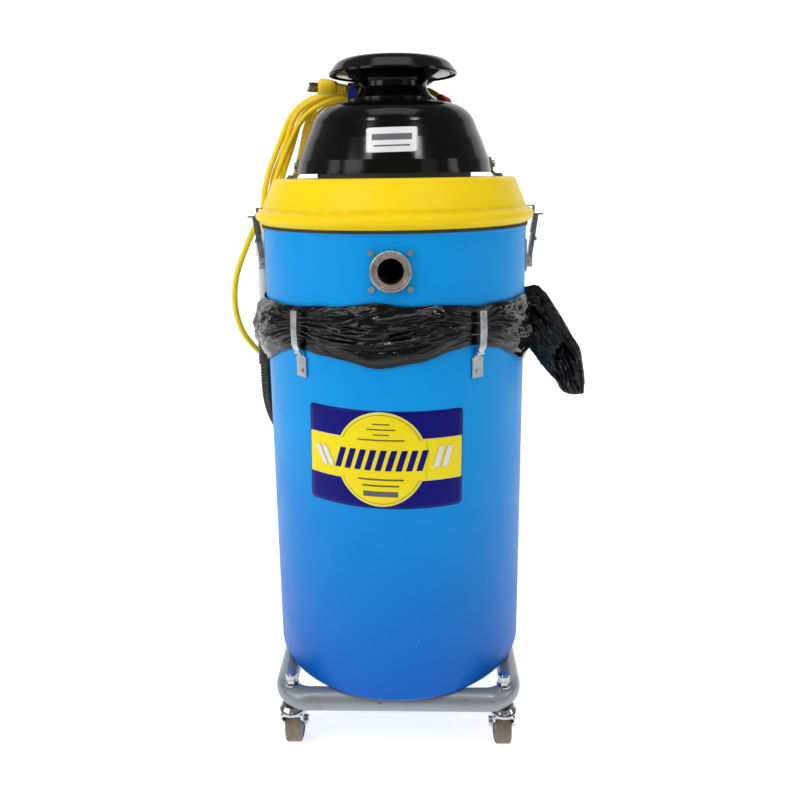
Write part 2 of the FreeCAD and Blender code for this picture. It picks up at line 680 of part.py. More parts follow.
def inlet():
    inlet_z = lid_foot - s.inlet_drop
    face = -s.collar_reach
    ring = new_body("collar")
    profile = outline(
        ring,
        "YZ_Plane",
        [
            (-s.spigot_end, s.inlet_bore), (-s.spigot_end, s.spigot_radius),
            (-s.collar_back, s.spigot_radius), (-s.collar_back, s.collar_radius),
            (face + 2, s.collar_radius, 2), (face, s.collar_radius - 2),
            (face, s.collar_step), (face + s.step_depth, s.collar_step - 1.5),
            (face + s.step_depth, s.inlet_bore),
        ],
    )
    turn = ring.newObject("PartDesign::Revolution", "Turn")
    turn.Profile = profile
    turn.ReferenceAxis = (profile, ["H_Axis"])
    turn.Angle = 360
    turn_about_z(ring, 0, 0, 0, inlet_z)
    back = block(
        "inlet_back",
        (-s.plate_half, -s.plate_face, inlet_z - s.plate_half),
        (s.plate_half * 2, s.plate_thick, s.plate_half * 2),
    )
    drills = [rod("back_bore", s.spigot_radius - 1, 20, (0, -s.plate_face - 5, inlet_z), (0, 1, 0))]
    screws = []
    for k, x, z in inlet_screw_places():
        drills.append(rod(f"back_hole{k}", s.screw_radius, 20, (x, -s.plate_face - 5, z), (0, 1, 0)))
        start = (x, -s.screw_reach, z)
        screws.append(
            fuse(
                f"inlet_screw{k}",
                rod(f"screw_shank{k}", s.screw_radius, s.screw_length, start, (0, 1, 0)),
                rod(f"screw_head{k}", s.screw_head, s.screw_head_thick, start, (0, 1, 0)),
            )
        )
    node(fuse("inlet_joined", ring, cut("back_drilled", back, *drills)), "inlet_collar")
    node(group("inlet_screw_set", *screws), "inlet_screws")

    centre = (s.elbow_bend, -s.spigot_end, inlet_z)
    quarter = FreeCAD.Rotation(FreeCAD.Vector(0, 0, 1), 90)
    sleeve_at = (0, -s.spigot_end - 12, inlet_z)
    outside = fuse(
        "elbow_outside",
        torus("elbow_bend_outer", s.elbow_bend, s.elbow_radius, centre, 90, quarter),
        rod("elbow_sleeve", s.elbow_radius, 12, sleeve_at, (0, 1, 0)),
    )
    inside = fuse(
        "elbow_inside",
        torus("elbow_bend_inner", s.elbow_bend, s.elbow_bore, centre, 90, quarter),
        rod("elbow_socket", s.elbow_bore, 13, (0, -s.spigot_end - 13, inlet_z), (0, 1, 0)),
        rod(
            "elbow_mouth", s.elbow_bore, 3,
            (s.elbow_bend - 1, s.elbow_bend - s.spigot_end, inlet_z), (1, 0, 0),
        ),
    )
    node(cut("elbow", outside, inside), "inlet_elbow")


# ---------------------------------------------------------------- lid and side latches


def lid():
    wall = s.lid_wall
    height = s.lid_height
    points = [
        (s.lid_inner_lip, 0), (s.lid_lip_radius, 0), (s.lid_bead_radius - 2, s.lid_bead_low, 9),
        (s.lid_bead_radius - 2, s.lid_bead_high), (s.lid_groove_radius, s.lid_groove_height),
        (s.lid_wall_foot, s.lid_wall_low), (s.lid_top_radius + 1.5, height - 8, s.lid_corner),
        (s.lid_top_radius - 6, height), (s.lid_opening, height), (s.lid_opening, height - wall),
        (s.lid_top_radius - 6.5, height - wall, wall - s.lid_corner),
        (s.lid_top_radius - 1, height - 9), (s.lid_wall_foot - wall, s.lid_wall_low - 1),
        (s.lid_wall_foot - wall, s.lid_bead_high), (s.lid_inner_lip, s.lid_bead_low + 4),
    ]
    node(turn_about_z(turned("lid_shell", points), 0, z=lid_foot), "lid")


def latch(side, turn):
    """A sprung side latch: base with ears, coils and pin on the section, lever, and claw over the bead."""
    pivot = s.latch_pivot_reach
    pivot_z = -s.latch_pivot_drop
    wall = s.section_radius + s.wall_clear
    face = wall + s.base_thick
    half = s.latch_half
    back = block(
        f"latch_back_{side}", (wall, -s.base_half, -s.base_foot_drop),
        (s.base_thick, s.base_half * 2, s.base_foot_drop - s.base_top_drop),
    )
    ears = [
        block(
            f"latch_ear_{side}{k}",
            (face - 0.5, (half + s.wall_clear) * way - (s.ear_thick if way < 0 else 0), -s.ear_low_drop),
            (s.ear_reach - face + 0.5, s.ear_thick, s.ear_low_drop - s.ear_high_drop),
        )
        for k, way in enumerate((-1, 1))
    ]
    pin_start = (pivot, -s.base_half, pivot_z)
    pin = rod(f"latch_pin_{side}", s.latch_pin_radius, s.base_half * 2, pin_start, (0, 1, 0))
    hole = rod(f"latch_pin_hole_{side}", s.latch_pin_radius, s.base_half * 2, pin_start, (0, 1, 0))
    coils = [
        torus(
            f"coil_{side}{k}", s.latch_pin_radius + 1, 0.9,
            (pivot, (half + s.ear_thick + 1.4) * way, pivot_z), 360,
            FreeCAD.Rotation(FreeCAD.Vector(1, 0, 0), 90),
        )
        for k, way in enumerate((-1, 1))
    ]
    rivets = [
        rod(f"latch_rivet_{side}{k}", s.rivet_radius, 1.5, (face, 0, -s.base_top_drop - drop), (1, 0, 0))
        for k, drop in enumerate((7, 17))
    ]
    frame = cut(f"latch_frame_{side}", fuse(f"latch_bracket_{side}", back, *ears), hole)
    base = group(f"latch_base_set_{side}", frame, pin, *coils, *rivets)
    node(turn_about_z(base, turn, z=lid_foot), f"latch_base_{side}")

    knuckle = s.lever_knuckle
    top = s.lever_top
    lever = plate(
        f"lever_{side}",
        "XZ_Plane",
        [
            (pivot - knuckle, pivot_z, knuckle), (pivot, pivot_z - knuckle, knuckle),
            (pivot + knuckle, pivot_z),
            (s.lever_foot_outer, pivot_z + 6), (s.lever_top_outer, top - s.lever_lip_thick),
            (s.lever_lip, top - s.lever_lip_thick), (s.lever_lip, top), (s.lever_top_inner, top),
            (pivot - 1.4, pivot_z + 11), (pivot - knuckle, pivot_z + 4),
        ],
        half * 2,
    )
    bore = circle_sketch(lever, "XZ_Plane", s.latch_pin_radius + 0.06, pivot, pivot_z)
    pad(lever, bore, half * 3, both_ways=True, cut=True)
    stub = rod(f"lever_stub_{side}", s.stub_radius, 7, (s.lever_foot_outer + 1, 0, -s.stub_drop), (1, 0, 0))
    node(turn_about_z(fuse(f"lever_set_{side}", lever, stub), turn, z=lid_foot), f"latch_lever_{side}")

    inner = s.claw_inner
    claw = plate(
        f"claw_{side}",
        "XZ_Plane",
        [
            (213.8, -20), (215.25, -20), (s.lever_top_inner - 1, 3), (s.lever_top_inner - 0.1, top),
            (s.lever_top_inner - 0.1, top + 13), (s.claw_tip, top + 13), (s.claw_tip, top + 11.6),
            (inner + 0.1, top + 11.6), (inner + 0.1, 3),
        ],
        s.claw_half * 2,
    )
    node(turn_about_z(claw, turn, z=lid_foot), f"latch_claw_{side}")


# ---------------------------------------------------------------- motor head


BRACKET_TURNS = (4, 90, 176)


def dome_and_neck():
    brim = s.dome_brim
    wall = s.dome_wall
    crown = s.dome_shoulder - 7
    dome = turned(
        "dome_shell",
        [
            (brim - wall, 0), (brim, 0), (brim, 4), (brim - 2.5, 19), (brim - 14, 50),
            (brim - 24, 73, 45), (brim - 53, crown - 6.5), (s.neck_base - 1, crown),
            (s.neck_bore, crown), (s.neck_bore, crown - wall), (s.neck_base - 1, crown - wall),
            (brim - 53.3, crown - 8, -43.5), (brim - 25.5, 72.3), (brim - 15.5, 49.4),
            (brim - 4, 18.6), (brim - wall, 4),
        ],
    )
    turn_about_z(dome, 0, z=dome_foot)
    bolt_z = lid_top + 20
    tools = []
    brackets = []
    for k, turn in enumerate(BRACKET_TURNS):
        drill = rod(f"bolt_drill{k}", s.bolt_radius, 24, (brim - 14, 0, bolt_z), (1, 0, 0))
        tools.append(turn_about_z(group(f"bolt_drill_set{k}", drill), turn))
        strap = plate(
            f"bracket{k}",
            "XZ_Plane",
            [
                (brim - 3.1, 30), (brim - 1.9, 26), (brim + 0.7, 11.5), (brim + 0.7, 8),
                (brim + 7.5, 2.6), (brim + 7.5, 0), (brim + 19, 0), (brim + 19, 2.5),
                (brim + 10.3, 2.5), (brim + 3.7, 9.5), (brim + 3.7, 12), (brim + 1.1, 26.6),
                (brim - 0.2, 30.6),
            ],
            s.bracket_half * 2,
        )
        turn_about_z(strap, 0, z=lid_top)
        strap_hole = rod(f"strap_hole{k}", s.bolt_radius, 24, (brim - 14, 0, bolt_z), (1, 0, 0))
        bolt = fuse(
            f"bolt{k}",
            rod(f"bolt_shank{k}", s.bolt_radius, 12, (brim - 6, 0, bolt_z), (1, 0, 0)),
            rod(f"bolt_head{k}", s.bolt_head, s.bolt_head_thick, (brim + 3.3, 0, bolt_z), (1, 0, 0)),
        )
        foot_screw = rod(f"foot_screw{k}", s.bolt_head, 3, (brim + 14, 0, lid_top + 2.5))
        parts = group(f"bracket_set{k}", cut(f"bracket_drilled{k}", strap, strap_hole), bolt, foot_screw)
        brackets.append(turn_about_z(parts, turn))
    gland_at = gland_place()
    tools.append(rod("gland_drill", 7, 30, (gland_at[0], gland_at[1], dome_foot + 90)))
    node(cut("dome_drilled", dome, *tools), "motor_dome")
    node(group("bracket_sets", *brackets), "dome_brackets")

    base = s.neck_base
    waist = s.neck_radius
    bore = s.neck_bore
    lift = cap_foot - dome_foot - crown
    spool = turned(
        "neck_spool",
        [
            (bore, 0), (base, 0), (base, 3), (base - 7, 8, -25), (waist, 20), (waist, 27, -16),
            (waist + 7, lift - 1), (s.cap_plate_radius, lift + 1.5),
            (s.cap_plate_radius, lift + 3), (bore, lift + 3),
        ],
    )
    azimuth = SIZES["gusset_azimuth"]
    gussets = []
    for turn in (-90 - azimuth, -90 + azimuth, 90 - azimuth, 90 + azimuth):
        fin = plate(
            f"gusset{len(gussets)}",
            "XZ_Plane",
            [(waist - 2, 19), (s.cap_plate_radius - 1, lift + 1), (s.cap_plate_radius - 1, lift + 2),
             (waist - 2, lift + 2)],
            s.gusset_thick,
        )
        gussets.append(turn_about_z(fin, turn))
    neck = fuse("neck_joined", spool, *gussets)
    node(turn_about_z(neck, 0, z=dome_foot + crown), "neck_collar")

    radius = s.cap_radius
    high = s.cap_height
    thick = s.cap_wall
    cap = turned(
        "cap_shell",
        [
            (radius - thick, 0), (radius, 0), (radius + 0.3, 3), (radius - 8.5, high - 12, 24),
            (radius - 26, high - 3.6), (0, high), (0, high - thick), (56, high - 4.6), (56, 3), (58, 3),
            (58, high - 4.8), (radius - 26.5, high - 5.6), (radius - 10, high - 13.4),
            (radius - thick, 3.6),
        ],
    )
    node(turn_about_z(cap, 0, z=cap_foot), "motor_cap")
    ring = [
        (s.ring_inner, 0), (s.ring_outer, 0), (s.ring_outer, s.ring_height), (s.ring_inner, s.ring_height),
    ]
    node(turn_about_z(turned("foam", ring), 0, z=lid_top), "exhaust_ring")


def motor():
    low = -s.lid_wall
    flange = [
        (s.intake_radius, low - s.flange_thick), (s.flange_radius, low - s.flange_thick),
        (s.flange_radius, low), (s.intake_radius, low),
    ]
    node(turn_about_z(turned("flange", flange), 0, z=lid_top), "motor_flange")
    bore = s.shaft_radius + s.shaft_gap
    wall = s.can_wall
    high = low + s.can_height
    can = [
        (s.intake_radius, low), (s.can_radius, low), (s.can_radius, high), (bore, high),
        (bore, high - wall * 2), (s.can_radius - wall, high - wall * 2),
        (s.can_radius - wall, low + wall), (s.intake_radius, low + wall),
    ]
    node(turn_about_z(turned("can", can), 0, z=lid_top), "motor_can")
    top = s.stator_top
    stator = [
        (s.stator_inner, high), (s.stator_outer, high), (s.stator_outer, top), (bore, top),
        (bore, top - 4), (s.stator_inner, top - 4),
    ]
    node(turn_about_z(turned("stator", stator), 0, z=lid_top), "motor_stator")
    shaft = s.shaft_radius
    disc = s.impeller_radius
    thick = s.impeller_thick
    rotor = [
        (0, 2), (shaft, 2), (shaft, 4), (disc, 4), (disc, 4 + thick), (shaft, 4 + thick),
        (shaft, 28), (disc, 28), (disc, 28 + thick), (shaft, 28 + thick), (shaft, 60),
        (s.armature_radius, 60), (s.armature_radius, 96), (shaft, 96), (shaft, top + 2),
        (s.fan_radius, top + 2), (s.fan_radius, top + 2 + s.fan_thick),
        (shaft, top + 2 + s.fan_thick), (shaft, top + 12), (0, top + 12),
    ]
    node(turn_about_z(turned("rotor", rotor), 0, z=lid_top), "motor_rotor")


def power_switch():
    reach = s.switch_reach
    half = s.switch_half
    rocker = s.rocker_half
    middle = lid_top + 47
    corner = (reach - 8, -half, middle - s.switch_height * 0.5)
    box = block("switch_box", corner, (16, half * 2, s.switch_height))
    well = block("switch_well", (reach + 2, -rocker - 0.5, middle - 11), (10, rocker * 2 + 1, 22))
    dome_clear = doc.addObject("Part::Cone", "switch_seat")
    bind(dome_clear, "Radius1", s.dome_brim - 1.8)
    bind(dome_clear, "Radius2", s.dome_brim - 13.6)
    bind(dome_clear, "Height", 31)
    bind(dome_clear, "Placement.Base.z", dome_foot + 19)
    housing = cut("switch_housing", box, well, dome_clear)
    node(turn_about_z(group("switch_set", housing), 90), "switch_plate")
    button = plate(
        "rocker",
        "XZ_Plane",
        [(reach + 4, -8.5), (reach + 8, -8.5), (reach + 9.4, 0), (reach + 11, 8.5), (reach + 4, 8.5)],
        rocker * 2,
    )
    node(turn_about_z(button, 90, z=middle), "switch_rocker")


# ---------------------------------------------------------------- filter


def filter_set():
    low = -s.lid_wall - s.flange_thick
    cage = s.cage_radius
    wire = s.cage_wire
    hoops = [
        torus(f"hoop{k}", cage, wire, (0, 0, lid_top + low - wire - s.cage_depth * share))
        for k, share in enumerate((0, 0.5, 1))
    ]
    rods = [
        rod(
            f"cage_rod{k}", wire * 0.8, s.cage_depth,
            (
                cage * math.cos(2 * math.pi * (k + 0.5) / SIZES["cage_rods"]),
                cage * math.sin(2 * math.pi * (k + 0.5) / SIZES["cage_rods"]),
                lid_top + low - wire - s.cage_depth,
            ),
        )
        for k in range(SIZES["cage_rods"])
    ]
    node(fuse("cage", *hoops, *rods), "filter_cage")
    outer = s.filter_radius
    inner = outer - s.filter_cloth
    foot = low - s.filter_depth
    sleeve = [
        (0, foot), (outer, foot), (outer, low + 4), (inner, low + 4), (inner, foot + s.filter_cloth),
        (0, foot + s.filter_cloth),
    ]
    node(turn_about_z(turned("filter_sleeve", sleeve), 0, z=lid_top), "filter_bag")
    band = [
        (outer + 0.1, low - s.clamp_height), (s.clamp_radius, low - s.clamp_height),
        (s.clamp_radius, low), (outer + 0.1, low),
    ]
    node(turn_about_z(turned("clamp_band", band), 0, z=lid_top), "filter_clamp")


# ---------------------------------------------------------------- balance line


PORT_AZIMUTH = 143
QUARTER_UP = FreeCAD.Rotation(FreeCAD.Vector(1, 0, 0), 90)
QUARTER_DOWN = FreeCAD.Rotation(FreeCAD.Vector(1, 0, 0), -90)


def balance_line():
    reach = s.tube_reach
    top = lid_foot - s.pipe_top_drop
    foot = lid_foot - s.pipe_foot_drop
    outer = s.pipe_radius
    bore = outer - s.pipe_wall
    turn = SIZES["tube_azimuth"]
    pipe = cut(
        "pipe_tube",
        rod("pipe_outside", outer, top - foot, (reach, 0, foot)),
        rod("pipe_inside", bore, top - foot + 2, (reach, 0, foot - 1)),
    )
    node(turn_about_z(group("pipe_set", pipe), turn), "balance_pipe")

    centre = (reach - s.pipe_elbow, 0, top)
    stub_z = top + s.pipe_elbow
    wide = s.pipe_elbow_radius
    outside = fuse(
        "knee_outside",
        torus("knee_outer", s.pipe_elbow, wide, centre, 90, QUARTER_UP),
        rod("knee_socket", wide, 18, (reach, 0, top - 18)),
        rod("knee_stub", outer, 8, (reach - s.pipe_elbow - 8, 0, stub_z), (1, 0, 0)),
    )
    inside = fuse(
        "knee_inside",
        torus("knee_inner", s.pipe_elbow, bore, centre, 90, QUARTER_UP),
        rod("knee_socket_bore", outer, 18.5, (reach, 0, top - 18.5)),
        rod("knee_stub_bore", bore, 10, (reach - s.pipe_elbow - 9, 0, stub_z), (1, 0, 0)),
    )
    node(turn_about_z(group("knee_set", cut("knee", outside, inside)), turn), "balance_elbow")

    sleeve_foot = foot - 5
    sleeve = cut(
        "sleeve_tube",
        rod("sleeve_outside", s.sleeve_radius, s.sleeve_height, (reach, 0, sleeve_foot)),
        rod("sleeve_inside", outer + s.sleeve_gap, s.sleeve_height + 2, (reach, 0, sleeve_foot - 1)),
    )
    node(turn_about_z(group("sleeve_set", sleeve), turn), "hose_sleeve")

    port = s.port_reach
    port_z = s.port_height
    bend = s.port_bend
    wide = s.port_radius
    bore = s.port_bore - 2
    outside = fuse(
        "port_outside",
        torus("port_outer", bend, wide, (port - bend, 0, port_z), 90, QUARTER_DOWN),
        rod("port_socket", wide, 18, (port, 0, port_z)),
        rod("port_flange", s.port_flange, 4, (port - bend - 4.6, 0, port_z - bend), (1, 0, 0)),
        rod("port_neck", wide, 3, (port - bend - 2, 0, port_z - bend), (1, 0, 0)),
        rod("port_stub", s.port_bore, 12, (port - bend - 8, 0, port_z - bend), (1, 0, 0)),
    )
    inside = fuse(
        "port_inside",
        torus("port_inner", bend, bore, (port - bend, 0, port_z), 90, QUARTER_DOWN),
        rod("port_socket_bore", bore, 19, (port, 0, port_z)),
        rod("port_stub_bore", bore, 16, (port - bend - 15, 0, port_z - bend), (1, 0, 0)),
    )
    node(turn_about_z(group("port_set", cut("port_knee", outside, inside)), PORT_AZIMUTH), "hose_elbow")


# ---------------------------------------------------------------- swept cords and hose


def smooth_path(points):
    """Straight runs joined by tangent arcs, each as large as its two runs allow. Returns the
    wire, and the radii of its arcs."""
    edges = []
    radii = []
    here = points[0]
    for before, corner, after in zip(points, points[1:], points[2:]):
        come = corner - before
        leave = after - corner
        turn = come.getAngle(leave)
        cut_back = 0.45 * min(come.Length, leave.Length)
        radii.append(cut_back / math.tan(turn / 2))
        come.normalize()
        leave.normalize()
        start = corner - come * cut_back
        stop = corner + leave * cut_back
        inward = (leave - come).normalize()
        middle_gap = radii[-1] / math.cos(turn / 2) - radii[-1]
        edges.append(Part.LineSegment(here, start).toShape())
        edges.append(Part.Arc(start, corner + inward * middle_gap, stop).toShape())
        here = stop
    edges.append(Part.LineSegment(here, points[-1]).toShape())
    return Part.Wire(edges), radii


def swept(path, radius):
    edge = path.Edges[0]
    start = edge.valueAt(edge.FirstParameter)
    ring = Part.Wire(Part.makeCircle(radius, start, edge.tangentAt(edge.FirstParameter)))
    shell = Part.BRepOffsetAPI.MakePipeShell(path)
    shell.setTransitionMode(1)
    shell.add(ring)
    shell.build()
    shell.makeSolid()
    return shell.shape()


def swept_tube(name, points, radius, bore=0):
    path, radii = smooth_path(points)
    solid = swept(path, radius)
    volume = math.pi * radius * radius * path.Length
    if bore:
        solid = solid.cut(swept(path, bore))
        volume -= math.pi * bore * bore * path.Length
    share = solid.Volume / volume
    print(name, "length", round(path.Length), "volume share", round(share, 4))
    print(name, "radii", [round(r) for r in radii])
    return solid


def feature(name, shape):
    thing = doc.addObject("Part::Feature", name)
    thing.Shape = shape
    return thing


GLAND_AIM = (-0.53, 0.66, 0.53)


def gland_place():
    """Where the gland stands on the dome's shoulder, in X and Y."""
    return (s.gland_right, s.gland_back)


# Routes in millimetres, from the gland round the neck's back to the strap, and the long loop.
NECK_RUN = [
    (74.5, 61.9, 988.5), (62.8, 76.4, 1000.2), (44, 89, 1006), (20, 96, 1009), (-4, 96, 1010),
    (-28, 88, 1010), (-52, 76, 1008), (-75, 66, 1003),
]
LONG_LOOP = [
    (-210, 91, 846), (-222, 76, 815), (-238, 62, 780), (-254, 52, 742), (-270, 47, 699),
    (-275, 49, 650), (-267, 60, 602), (-246, 84, 562), (-223, 112, 536), (-202, 136, 525),
    (-181, 160, 532), (-166, 176, 560), (-166, 173, 604), (-178, 156, 641), (-190, 138, 675),
]
HOSE_RUN = [
    (-221, 48.2, 550), (-221, 48.2, 508), (-218, 60, 466), (-209, 82, 428), (-196, 107, 392),
    (-183, 128, 354), (-178.9, 134.8, 318), (-178.9, 134.8, 290),
]
# The hank, from its folds behind the neck to those at its foot: the middle of each section,
# its half width along the wall and its half depth away from it.
HANK = [
    ((-11.5, 114.4, 991), 14, 10), ((-24, 104.3, 991), 31, 14), ((-47.4, 85.4, 991), 33, 14.5),
    ((-74, 66, 997), 18, 12.5), ((-112, 74, 989), 23, 17), ((-153, 82, 966), 27, 22),
    ((-173, 92, 912), 34, 18), ((-195, 101, 856), 39, 17), ((-207, 112, 800), 38, 14),
    ((-209, 116, 720), 37, 14), ((-207, 116, 660), 36, 13), ((-205, 116, 624), 30, 10),
]
STRAP_START = (-59, 62, 997)
LEVEL_SECTIONS = 6


def cords():
    hose_points = [FreeCAD.Vector(*p) for p in HOSE_RUN]
    hose = swept_tube("hose", hose_points, SIZES["hose_radius"], SIZES["pipe_radius"])
    node(feature("hose", hose), "balance_hose")
    runs = [
        swept_tube(name, [FreeCAD.Vector(*p) for p in points], SIZES["cord_radius"])
        for name, points in (("neck run", NECK_RUN), ("long loop", LONG_LOOP))
    ]
    node(feature("cord", Part.makeCompound(runs)), "power_cord")

    sections = []
    for k, (middle, half_width, half_depth) in enumerate(HANK):
        middle = FreeCAD.Vector(*middle)
        before = FreeCAD.Vector(*HANK[max(k - 1, 0)][0])
        after = FreeCAD.Vector(*HANK[min(k + 1, len(HANK) - 1)][0])
        along = (after - before).normalize()
        outward = FreeCAD.Vector(middle.x, middle.y, 0).normalize()
        if k < LEVEL_SECTIONS:
            outward = FreeCAD.Vector(0, 0, 1)
        across = along.cross(outward).normalize()
        depth = across.cross(along).normalize()
        oval = Part.Ellipse(middle + across * half_width, middle + depth * half_depth, middle)
        sections.append(Part.Wire(oval.toShape()))
    node(feature("hank", Part.makeLoft(sections, True)), "cord_hank")

    band = []
    for grow in (0, 2):
        oval = Part.Ellipse(
            FreeCAD.Vector(0, 26 + grow, 0), FreeCAD.Vector(13 + grow, 0, 0), FreeCAD.Vector(0, 0, 0)
        )
        face = Part.Face(Part.Wire(oval.toShape()))
        band.append(face.extrude(FreeCAD.Vector(0, 0, 16)))
    strap = feature("strap_band", band[1].cut(band[0]))
    facing = FreeCAD.Rotation(FreeCAD.Vector(0, 0, 1), FreeCAD.Vector(-1, 0, 0))
    strap.Placement = FreeCAD.Placement(FreeCAD.Vector(*STRAP_START), facing)
    node(strap, "cord_strap")


def plug_and_gland():
    x, y = gland_place()
    shank = rod("gland_shank", 6.9, 24, (x, y, dome_foot + 84))
    base = rod("gland_base", s.gland_radius + 1.5, 5, (x, y, dome_foot + 105))
    ball = doc.addObject("Part::Sphere", "gland_ball")
    sleeve = doc.addObject("Part::Cone", "gland_sleeve")
    bind(ball, "Radius", s.gland_radius)
    bind(sleeve, "Radius1", s.gland_radius)
    bind(sleeve, "Radius2", s.cord_radius + 2)
    bind(sleeve, "Height", s.gland_length)
    sleeve.Placement.Rotation = FreeCAD.Rotation(FreeCAD.Vector(0, 0, 1), FreeCAD.Vector(*GLAND_AIM))
    for thing in (ball, sleeve):
        for side, value in zip("xyz", (x, y, dome_foot + 111)):
            bind(thing, f"Placement.Base.{side}", value)
    node(fuse("gland", shank, base, ball, sleeve), "cord_gland")
    radius = s.plug_radius
    grip = turned(
        "plug_grip",
        [
            (0, 0), (s.cord_radius + 1.5, 0), (s.cord_radius + 2.5, 12), (radius - 2.5, 18),
            (radius, 26), (radius, 42), (radius - 1, 43), (0, 43),
        ],
    )
    blades = [
        block("blade_left", (-6.9, -3.1, 43), (1.5, 6.2, 17)),
        block("blade_right", (5.4, -3.1, 43), (1.5, 6.2, 17)),
        rod("ground_pin", 2.3, 20, (0, 8, 43)),
    ]
    plug = group("plug", grip, *blades)
    facing = FreeCAD.Rotation(FreeCAD.Vector(0, 0, 1), FreeCAD.Vector(-42, -3, 3))
    twist = FreeCAD.Rotation(FreeCAD.Vector(0, 0, 1), 60)
    plug.Placement = FreeCAD.Placement(FreeCAD.Vector(-76, 38, 1003), facing.multiply(twist))
    node(plug, "plug")


# ---------------------------------------------------------------- build and write


dolly()
for corner_name, (corner_x, corner_y) in CORNERS.items():
    caster(corner_name, corner_x, corner_y)
barrel()
clip_tabs_and_straps()
upper_section()
inlet()
lid()
latch("right", 0)
latch("left", 180)
dome_and_neck()
motor()
power_switch()
filter_set()
balance_line()
cords()
plug_and_gland()
doc.recompute()

for thing in doc.Objects:
    if {"Invalid", "Error"} & set(thing.State):
        raise RuntimeError(f"{thing.Name} ({thing.Label}) failed: {thing.State}")
os.makedirs("parts", exist_ok=True)
for thing in nodes:
    if thing.Shape.isNull() or not thing.Shape.isValid():
        raise RuntimeError(f"{thing.Label} has no valid shape")
    thing.Shape.exportStep(f"parts/{thing.Label}.step")
print(len(nodes), "sub-parts written")
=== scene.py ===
import math

import bmesh
import bpy
from mathutils import Matrix, Vector, noise
from mathutils.bvhtree import BVHTree


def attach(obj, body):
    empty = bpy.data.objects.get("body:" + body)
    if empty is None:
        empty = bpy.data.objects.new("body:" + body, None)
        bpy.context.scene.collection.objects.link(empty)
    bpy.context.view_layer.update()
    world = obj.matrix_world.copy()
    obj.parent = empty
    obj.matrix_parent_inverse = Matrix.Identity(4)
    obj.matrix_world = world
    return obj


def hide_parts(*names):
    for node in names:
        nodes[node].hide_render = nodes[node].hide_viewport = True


# The looks of a mobile dust collector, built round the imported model. Metres, +Z up, front towards -Y.

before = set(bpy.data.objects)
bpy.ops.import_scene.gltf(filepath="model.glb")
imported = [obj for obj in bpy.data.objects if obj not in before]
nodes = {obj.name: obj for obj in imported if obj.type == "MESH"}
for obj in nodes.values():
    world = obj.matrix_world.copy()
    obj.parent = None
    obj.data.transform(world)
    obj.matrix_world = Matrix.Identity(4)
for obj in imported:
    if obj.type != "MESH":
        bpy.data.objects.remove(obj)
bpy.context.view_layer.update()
scene = bpy.context.scene
MM = 0.001


# ---------------------------------------------------------------- camera


CAMERA_PLACE = (0.0341, -1.1495, 0.8669)
CAMERA_TURN = 1.7
CAMERA_DOWN = 8.25
CAMERA_ROLL = -0.0124


def make_camera():
    """A camera in front of the object; its turn and tilt are in degrees, its roll in radians."""
    data = bpy.data.cameras.new("camera")
    data.lens = 32.6
    data.sensor_width = 36
    data.shift_x = 0.0057
    data.shift_y = -0.1515
    camera = bpy.data.objects.new("camera", data)
    scene.collection.objects.link(camera)
    turn = Matrix.Rotation(math.radians(CAMERA_TURN), 4, "Z")
    tilt = Matrix.Rotation(math.radians(90 - CAMERA_DOWN), 4, "X")
    roll = Matrix.Rotation(CAMERA_ROLL, 4, "Z")
    camera.matrix_world = Matrix.Translation(CAMERA_PLACE) @ turn @ tilt @ roll
    scene.camera = camera


make_camera()


# ---------------------------------------------------------------- mesh helpers


def new_object(name, data, body):
    thing = bpy.data.objects.new(name, data)
    scene.collection.objects.link(thing)
    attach(thing, body)
    return thing


def mesh_object(name, points, faces, body, smooth=True):
    mesh = bpy.data.meshes.new(name)
    mesh.from_pydata([tuple(p) for p in points], [], faces)
    work = bmesh.new()
    work.from_mesh(mesh)
    bmesh.ops.recalc_face_normals(work, faces=work.faces)
    work.to_mesh(mesh)
    work.free()
    for polygon in mesh.polygons:
        polygon.use_smooth = smooth
    return new_object(name, mesh, body)


def rings_to_mesh(rings, closed_ends=True):
    """Joins rings of equal length into a tube, with a middle point closing each end."""
    count = len(rings[0])
    points = [p for ring in rings for p in ring]
    faces = []
    for k in range(len(rings) - 1):
        for j in range(count):
            after = (j + 1) % count
            faces.append(
                (k * count + j, k * count + after, (k + 1) * count + after, (k + 1) * count + j)
            )
    if closed_ends:
        for k in (0, len(rings) - 1):
            ring = rings[k]
            points.append(sum((Vector(p) for p in ring), Vector()) / count)
            middle = len(points) - 1
            for j in range(count):
                faces.append((k * count + j, k * count + (j + 1) % count, middle))
    return points, faces


def route_curve(name, points, radius):
    """A smooth round cord along points in millimetres; each point carries the cord's radius."""
    curve = bpy.data.curves.new(name, "CURVE")
    curve.dimensions = "3D"
    spline = curve.splines.new("NURBS")
    spline.points.add(len(points) - 1)
    for control, point in zip(spline.points, points):
        control.co = (point[0] * MM, point[1] * MM, point[2] * MM, 1)
        control.radius = radius
    spline.order_u = 3
    spline.use_endpoint_u = True
    spline.resolution_u = 8
    curve.bevel_depth = 1.0
    curve.bevel_resolution = 5
    return curve


def curve_points(curve):
    """The points that a curve's own line passes through, in metres."""
    bare = curve.copy()
    bare.bevel_depth = 0
    thing = bpy.data.objects.new("measure", bare)
    mesh = bpy.data.meshes.new_from_object(thing)
    points = [v.co.copy() for v in mesh.vertices]
    bpy.data.objects.remove(thing)
    bpy.data.meshes.remove(mesh)
    bpy.data.curves.remove(bare)
    return points


def run_length(points):
    return sum((b - a).length for a, b in zip(points, points[1:]))


def frames_along(points):
    """A tangent and two directions square to it at each point, turned as little as possible."""
    found = []
    side = None
    for k, point in enumerate(points):
        before = points[max(k - 1, 0)]
        after = points[min(k + 1, len(points) - 1)]
        along = (after - before).normalized()
        if side is None:
            side = along.orthogonal()
        side = (side - along * side.dot(along)).normalized()
        found.append((point, along, side, along.cross(side)))
    return found


# ---------------------------------------------------------------- the cord

